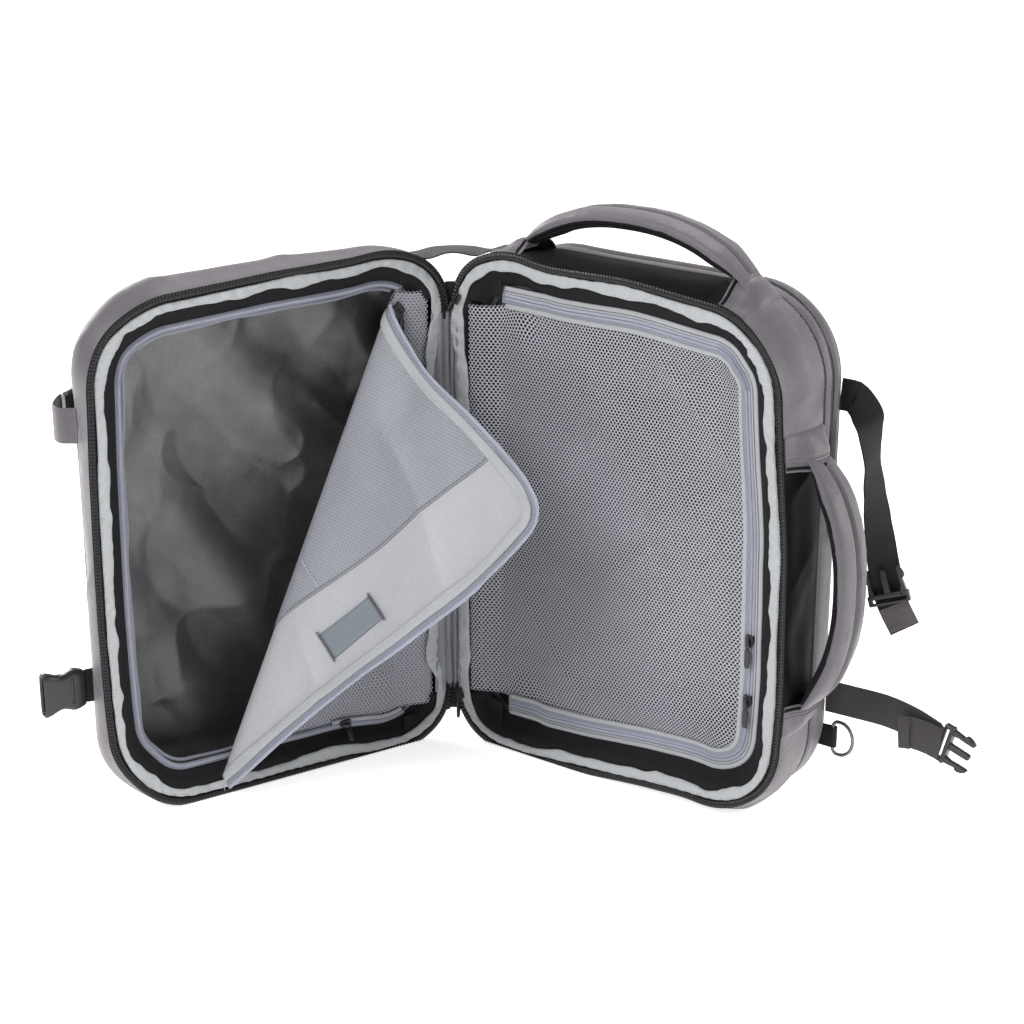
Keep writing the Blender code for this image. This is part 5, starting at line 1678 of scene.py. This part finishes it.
# ---- padding: closed pads, filled out by cloth under pressure ----
def baked(obj):
    """Applies obj's modifiers."""
    graph = bpy.context.evaluated_depsgraph_get()
    graph.update()
    mesh = bpy.data.meshes.new_from_object(obj.evaluated_get(graph))
    obj.modifiers.clear()
    obj.data = mesh
    return obj


def coordinates(mesh):
    """A mesh's points as an array."""
    co = np.empty(len(mesh.vertices) * 3)
    mesh.vertices.foreach_get("co", co)
    return co.reshape(-1, 3)


def stuffed(obj, most, cell=0.0050, pressure=4.0, pinned=None):
    """Fills out a closed pad as cloth under inner pressure, keeping each point within most of its start."""
    remesh = obj.modifiers.new("cells", "REMESH")
    remesh.mode, remesh.voxel_size = "VOXEL", cell
    baked(obj)
    start = coordinates(obj.data)
    cloth_by = obj.modifiers.new("cloth", "CLOTH")
    settings = cloth_by.settings
    settings.quality, settings.mass = 5, 0.3
    settings.tension_stiffness, settings.compression_stiffness, settings.bending_stiffness = 12, 4, 0.4
    settings.use_pressure, settings.uniform_pressure_force = True, pressure
    settings.shrink_min = -0.03
    settings.effector_weights.gravity = 0
    cloth_by.point_cache.frame_end = 20
    if pinned is not None:
        near = pinned(start)
        group = obj.vertex_groups.new(name="pinned")
        group.add(np.nonzero(near)[0].tolist(), 1.0, "REPLACE")
        settings.vertex_group_mass = "pinned"
    for number in range(1, 21):
        bpy.context.scene.frame_set(number)
    graph = bpy.context.evaluated_depsgraph_get()
    after = bpy.data.meshes.new_from_object(obj.evaluated_get(graph))
    moved = coordinates(after) - start
    length = np.linalg.norm(moved, axis=1)[:, None] + 1e-9
    final = start + moved * np.minimum(1, most / length)
    obj.modifiers.clear()
    obj.data.vertices.foreach_set("co", final.ravel())
    bpy.context.scene.frame_set(1)
    finer = obj.modifiers.new("finer", "SUBSURF")
    finer.levels = finer.render_levels = 1
    baked(obj)
    obj.data.polygons.foreach_set("use_smooth", [True] * len(obj.data.polygons))
    return obj


BACK_DEPTH = 0.096
FACE_Y = RIM_Y + BACK_DEPTH


def back_depth(a, u, inset):
    """Depth of the back panel at an inset from the rim."""
    line = np.array([(3.2, 84.8), (5.0, 86.5), (7, 89.2), (11, 91.0), (18, 91.4), (166, 91.4)])
    return np.interp(inset, line[:, 0] * MM, line[:, 1] * MM)


def back_wrinkle(a, u, inset):
    """Slight slack in the back panel."""
    return noise(a, u, 0.05, 150) * 0.0006 * ease((inset - 0.008) / 0.02)


dish("back_cloth", "main", RING, [3.2, 4.2, 5.5, 7, 9, 12, 18, 30, 50, 70], back_depth, 14, back_wrinkle,
                  FOAM_EDGE, "main", (), "back_foam")


def pad(name, a, u, half_a, half_u, tall, bow=0.0):
    """A closed rounded pad on the back, centred at (a, u)."""
    t = np.linspace(0, 2 * math.pi, 73)[:-1]
    ring = squarish(t, 0.5, 0.5) * (half_a, half_u)
    steps = [(0.0, 0.0), (0.5, 0.0), (0.97, 0.0), (1.0, 0.25), (0.985, 0.55), (0.94, 0.82), (0.86, 0.96),
             (0.6, 1.0), (0.3, 1.0), (0.0, 1.0)]
    grid = []
    for size, level in steps:
        x = a + ring[:, 0] * max(size, 0.001) + bow * (ring[:, 1] * size / half_u) ** 2
        z = u + ring[:, 1] * max(size, 0.001)
        grid.append(at("main", x, 0.0905 + tall * level, z))
    grid = np.array(grid)
    obj = lay(name, grid, FOAM, wrap_v=True)
    return obj


def joined(name, pieces):
    """One mesh of several closed ones."""
    points, faces, base = [], [], 0
    for one in pieces:
        co = coordinates(one.data)
        points.append(co)
        faces += [[v + base for v in p.vertices] for p in one.data.polygons]
        base += len(co)
        bpy.data.objects.remove(one)
    return shape(name, np.concatenate(points), faces, FOAM)


pads = []
for k, (u, half) in enumerate(((0.352, 0.064), (0.216, 0.064), (0.086, 0.058))):
    for sign in (-1, 1):
        pads.append(pad("pad", WIDTH / 2 + sign * 0.0745, u, 0.0605, half, 0.0050, -sign * 0.004))
pads = stuffed(joined("back_pads", pads), 0.0022, 0.0048, 3.0)
co = coordinates(pads.data)
co[:, 1] = np.clip(co[:, 1], None, FACE_Y + 0.0002)
pads.data.vertices.foreach_set("co", co.ravel())
keep(pads, "main", "back_panel", slot="back_foam")


def shoulder(side, sign):
    """A curved padded strap with bound edges and a webbing strip, its adjuster, lower webbing and hook."""
    body, hook_body = "shoulder_" + side, "hook_" + side
    t = np.linspace(0, 1, 60)
    x = sign * (42 + 52 * t ** 1.4 - 10 * np.sin(math.pi * t)) * MM
    z = (408 - 246 * t) * MM
    half = (27 + 6 * np.sin(math.pi * np.minimum(1, t * 1.3)) - 12 * np.clip(t - 0.6, 0, None)) * MM
    thick = (6.0 - 1.5 * t) * MM
    y = FACE_Y + 0.0006 + thick
    path = np.stack([x, y, z], 1)
    a = np.linspace(0, 2 * math.pi, 29)[:-1]
    profile = squarish(a, 0.8, 0.75)
    edge = [path + np.array([1.0, 0, 0]) * (s * half)[:, None] for s in (-1, 1)]
    border = np.concatenate(edge)
    strap_pad = sweep("shoulder_pad_" + side, path, (1.0, 0, 0), profile, FOAM, half * 0.985, thick * 0.93)

    def near_border(points):
        return np.array([np.min(np.abs(border - p).sum(1)) < 0.0055 for p in points])

    stuffed(strap_pad, 0.0016, 0.0042, 3.0, near_border)
    co = coordinates(strap_pad.data)
    co[:, 1] = np.maximum(co[:, 1], FACE_Y + 0.0004)
    strap_pad.data.vertices.foreach_set("co", co.ravel())
    keep(strap_pad, body, "shoulder_strap_" + side, slot="back_foam")
    first, last = path[0] + [0, 0, 0.0006], path[-1] - [0, 0, 0.0006]
    loop = np.concatenate([edge[0], [last + [-half[-1] * 0.5, 0, 0], last, last + [half[-1] * 0.5, 0, 0]],
                           edge[1][::-1],
                           [first + [half[0] * 0.5, 0, 0], first, first - [half[0] * 0.5, 0, 0]]])
    keep(sweep("shoulder_edge_" + side, loop, (0, 1.0, 0), circle(8, 0.0026, 0.0020), WEBBING_DARK,
               closed=True), body)
    line = path[4:56] + np.array([0, 1.0, 0]) * (thick[4:56] * 1.0 + 0.0009)[:, None]
    keep(sweep("shoulder_webbing_" + side, line, (1.0, 0, 0), pill(0.025, 0.0014), WEBBING), body,
         slot="webbing")
    for k, shift in enumerate((-0.0112, 0.0112)):
        keep(seeds("shoulder_stitches_%s_%d" % (side, k), line[1:-1] + [shift, 0.0008, 0],
                   np.gradient(line, axis=0)[1:-1],
                   (0, 1.0, 0), 0.0024, 0.0003, THREAD), body)
    ax, ay = sign * 0.094, FACE_Y + 0.0045
    base = np.array([ax, ay, 0.161])
    for k, (low, high, w) in enumerate(((0.0, 3.6, 15.0), (9.4, 12.0, 13.5), (18.6, 22.0, 15.0))):
        bar = plate("adjuster_bar_%s_%d" % (side, k), [(low, -w), (high, -w), (high, w), (low, w)], base,
                    (0, 0, -1.0), (1.0, 0, 0),
                    0.0034, PLASTIC, 0.0009)
        keep(bar, body, *(["adjuster_" + side] if k == 0 else []), slot="plastic")
    for k in (-1, 1):
        keep(plate("adjuster_cheek_%s_%s" % (side, "ab"[k > 0]),
                   [(0.6, 12.2), (21.4, 12.2), (21.4, 15), (0.6, 15)], base,
                   (0, 0, -1.0), (k, 0, 0), 0.0040, PLASTIC, 0.0010), body)
    web = spline([(ax, FACE_Y + 0.0066, 0.172), (ax, FACE_Y + 0.0072, 0.158), (ax, FACE_Y + 0.0048, 0.1515),
                  (ax, FACE_Y + 0.0022, 0.146), (ax, FACE_Y + 0.0018, 0.130),
                  (ax + sign * 0.0004, FACE_Y + 0.0017, 0.110),
                  (sign * 0.0975, FACE_Y + 0.0018, 0.088), (sign * 0.098, FACE_Y + 0.0019, 0.0835)], 70)
    keep(sweep("strap_webbing_" + side, web, (1.0, 0, 0), pill(0.024, 0.0014), WEBBING), body,
         "strap_web_" + side, slot="webbing")
    loose = spline([(ax, FACE_Y + 0.0030, 0.150), (ax, FACE_Y + 0.0068, 0.147), (ax, FACE_Y + 0.0080, 0.136),
                    (ax - sign * 0.002, FACE_Y + 0.0072, 0.118), (ax - sign * 0.003, FACE_Y + 0.0056, 0.104)],
                   40)
    keep(sweep("strap_tail_" + side, loose, (1.0, 0, 0), pill(0.0236, 0.0014), WEBBING), body)
    hook = [(0.6, -14), (8, -14), (10.4, -11), (12, -8), (30, -8), (34.6, -6), (36, -3), (36, 4), (34.6, 7.2),
            (31, 8.5), (22, 8.5),
            (22, 5), (29, 4.5), (31.5, 1), (29, -3), (14, -3), (12.8, 4), (12, 8), (10, 12), (8, 14),
            (0.6, 14)]
    hook = [(p, q * sign) for p, q in hook][::-sign]
    made = plate("strap_hook_shape_" + side, hook, np.array([sign * 0.098, FACE_Y + 0.0022, 0.084]),
                 (0, 0, -1.0), (1.0, 0, 0),
                 0.0032, PLASTIC, 0.0007)
    keep(made, hook_body, "strap_hook_" + side, slot="plastic")


shoulder("left", -1)
shoulder("right", 1)

# a grab loop's root and the straps' upper ends are covered by one sewn panel
yoke_a = np.linspace(-0.078, 0.078, 40)
yoke_u = np.linspace(0.398, 0.424, 14)
rise = 0.0068 * np.exp(-((np.abs(yoke_a)[:, None] - 0.042)
                         / 0.034) ** 4) * ease((0.4235 - yoke_u[None, :]) / 0.012)
grid = np.stack([yoke_a[:, None] + 0 * rise, FACE_Y - 0.0030 + rise, yoke_u[None, :] + 0 * rise], 2)
keep(lay("back_yoke", grid, FOAM_EDGE, thick=0.0012), "main", slot="shell_fabric")

# front pocket: a covered zip across the front face
pocket_a = np.arange(0.050, WIDTH - 0.050, 0.003)


def front_point(a, u, lift):
    """Points lifted off the front face."""
    s, inset = rim_of(a, u)
    return at("front", a, dome(a, u, inset) + front_face_wrinkle(a, u, inset) + lift, u)


coil("pocket_coil", lambda s, a, h: front_point(s, 0.272 + a, 0.0004 + h), 0.052, WIDTH - 0.052,
     (-0.0060, 0.0060),
     (-0.0022, 0.0022), 0.0012, COIL_BLACK, TAPE_BLACK, "front", slot="coil_black")
rows = np.linspace(0, 1, 7)
grid = front_point(pocket_a[:, None], 0.2785 - 0.0052 * rows[None, :],
                   0.0012 + 0.0014 * np.sin(rows[None, :] * math.pi * 0.8) ** 0.7)
keep(lay("pocket_cover", grid, SHELL, thick=0.0008), "front")


# ---- light, world and floor ----
def area(name, spot, target, size, power):
    """A round area lamp aimed at a point."""
    lamp = bpy.data.lights.new(name, "AREA")
    lamp.shape, lamp.size, lamp.energy = "DISK", size, power
    obj = bpy.data.objects.new(name, lamp)
    COLLECTION.objects.link(obj)
    obj.location = spot
    obj.rotation_mode = "QUATERNION"
    obj.rotation_quaternion = (Vector(target) - Vector(spot)).to_track_quat("-Z", "Y")
    return obj


world = bpy.data.worlds.new("world")
world.use_nodes = True
world.node_tree.nodes["Background"].inputs["Color"].default_value = (1, 1, 1, 1)
world.node_tree.nodes["Background"].inputs["Strength"].default_value = 0.33
bpy.context.scene.world = world
area("key", (-0.3, -1.9, 1.9), (0.0, -0.05, 0.2), 1.3, 44)
area("side", (1.9, 0.9, 0.8), (0.15, 0.05, 0.2), 0.9, 24)
area("top", (-0.2, 0.7, 2.0), (0.0, 0.05, 0.3), 1.2, 22)
area("left", (-1.8, 0.25, 0.9), (-0.25, -0.2, 0.3), 0.8, 24)
view = bpy.context.scene.view_settings
view.view_transform = "Standard"
view.look = "None"

FLOOR = bpy.data.materials.new("floor_paint")
FLOOR.use_nodes = True
tree = FLOOR.node_tree
shader = tree.nodes["Principled BSDF"]
spread = tree.nodes.new("ShaderNodeTexCoord").outputs["Object"]
wire(tree, mixed(tree, texture(tree, "ShaderNodeTexNoise", spread, Scale=3), (0.93, 0.93, 0.93),
                 (0.95, 0.95, 0.95)),
     shader.inputs["Base Color"])
shader.inputs["Roughness"].default_value = 0.9
shader.inputs["Specular IOR Level"].default_value = 0.1
shader.inputs["Emission Color"].default_value = (1, 1, 1, 1)
shader.inputs["Emission Strength"].default_value = 0.68
floor = shape("floor", [(-30, -30, 0), (30, -30, 0), (30, 30, 0), (-30, 30, 0)], [(0, 1, 2, 3)], FLOOR,
              smooth=False)
floor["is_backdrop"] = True

low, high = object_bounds()
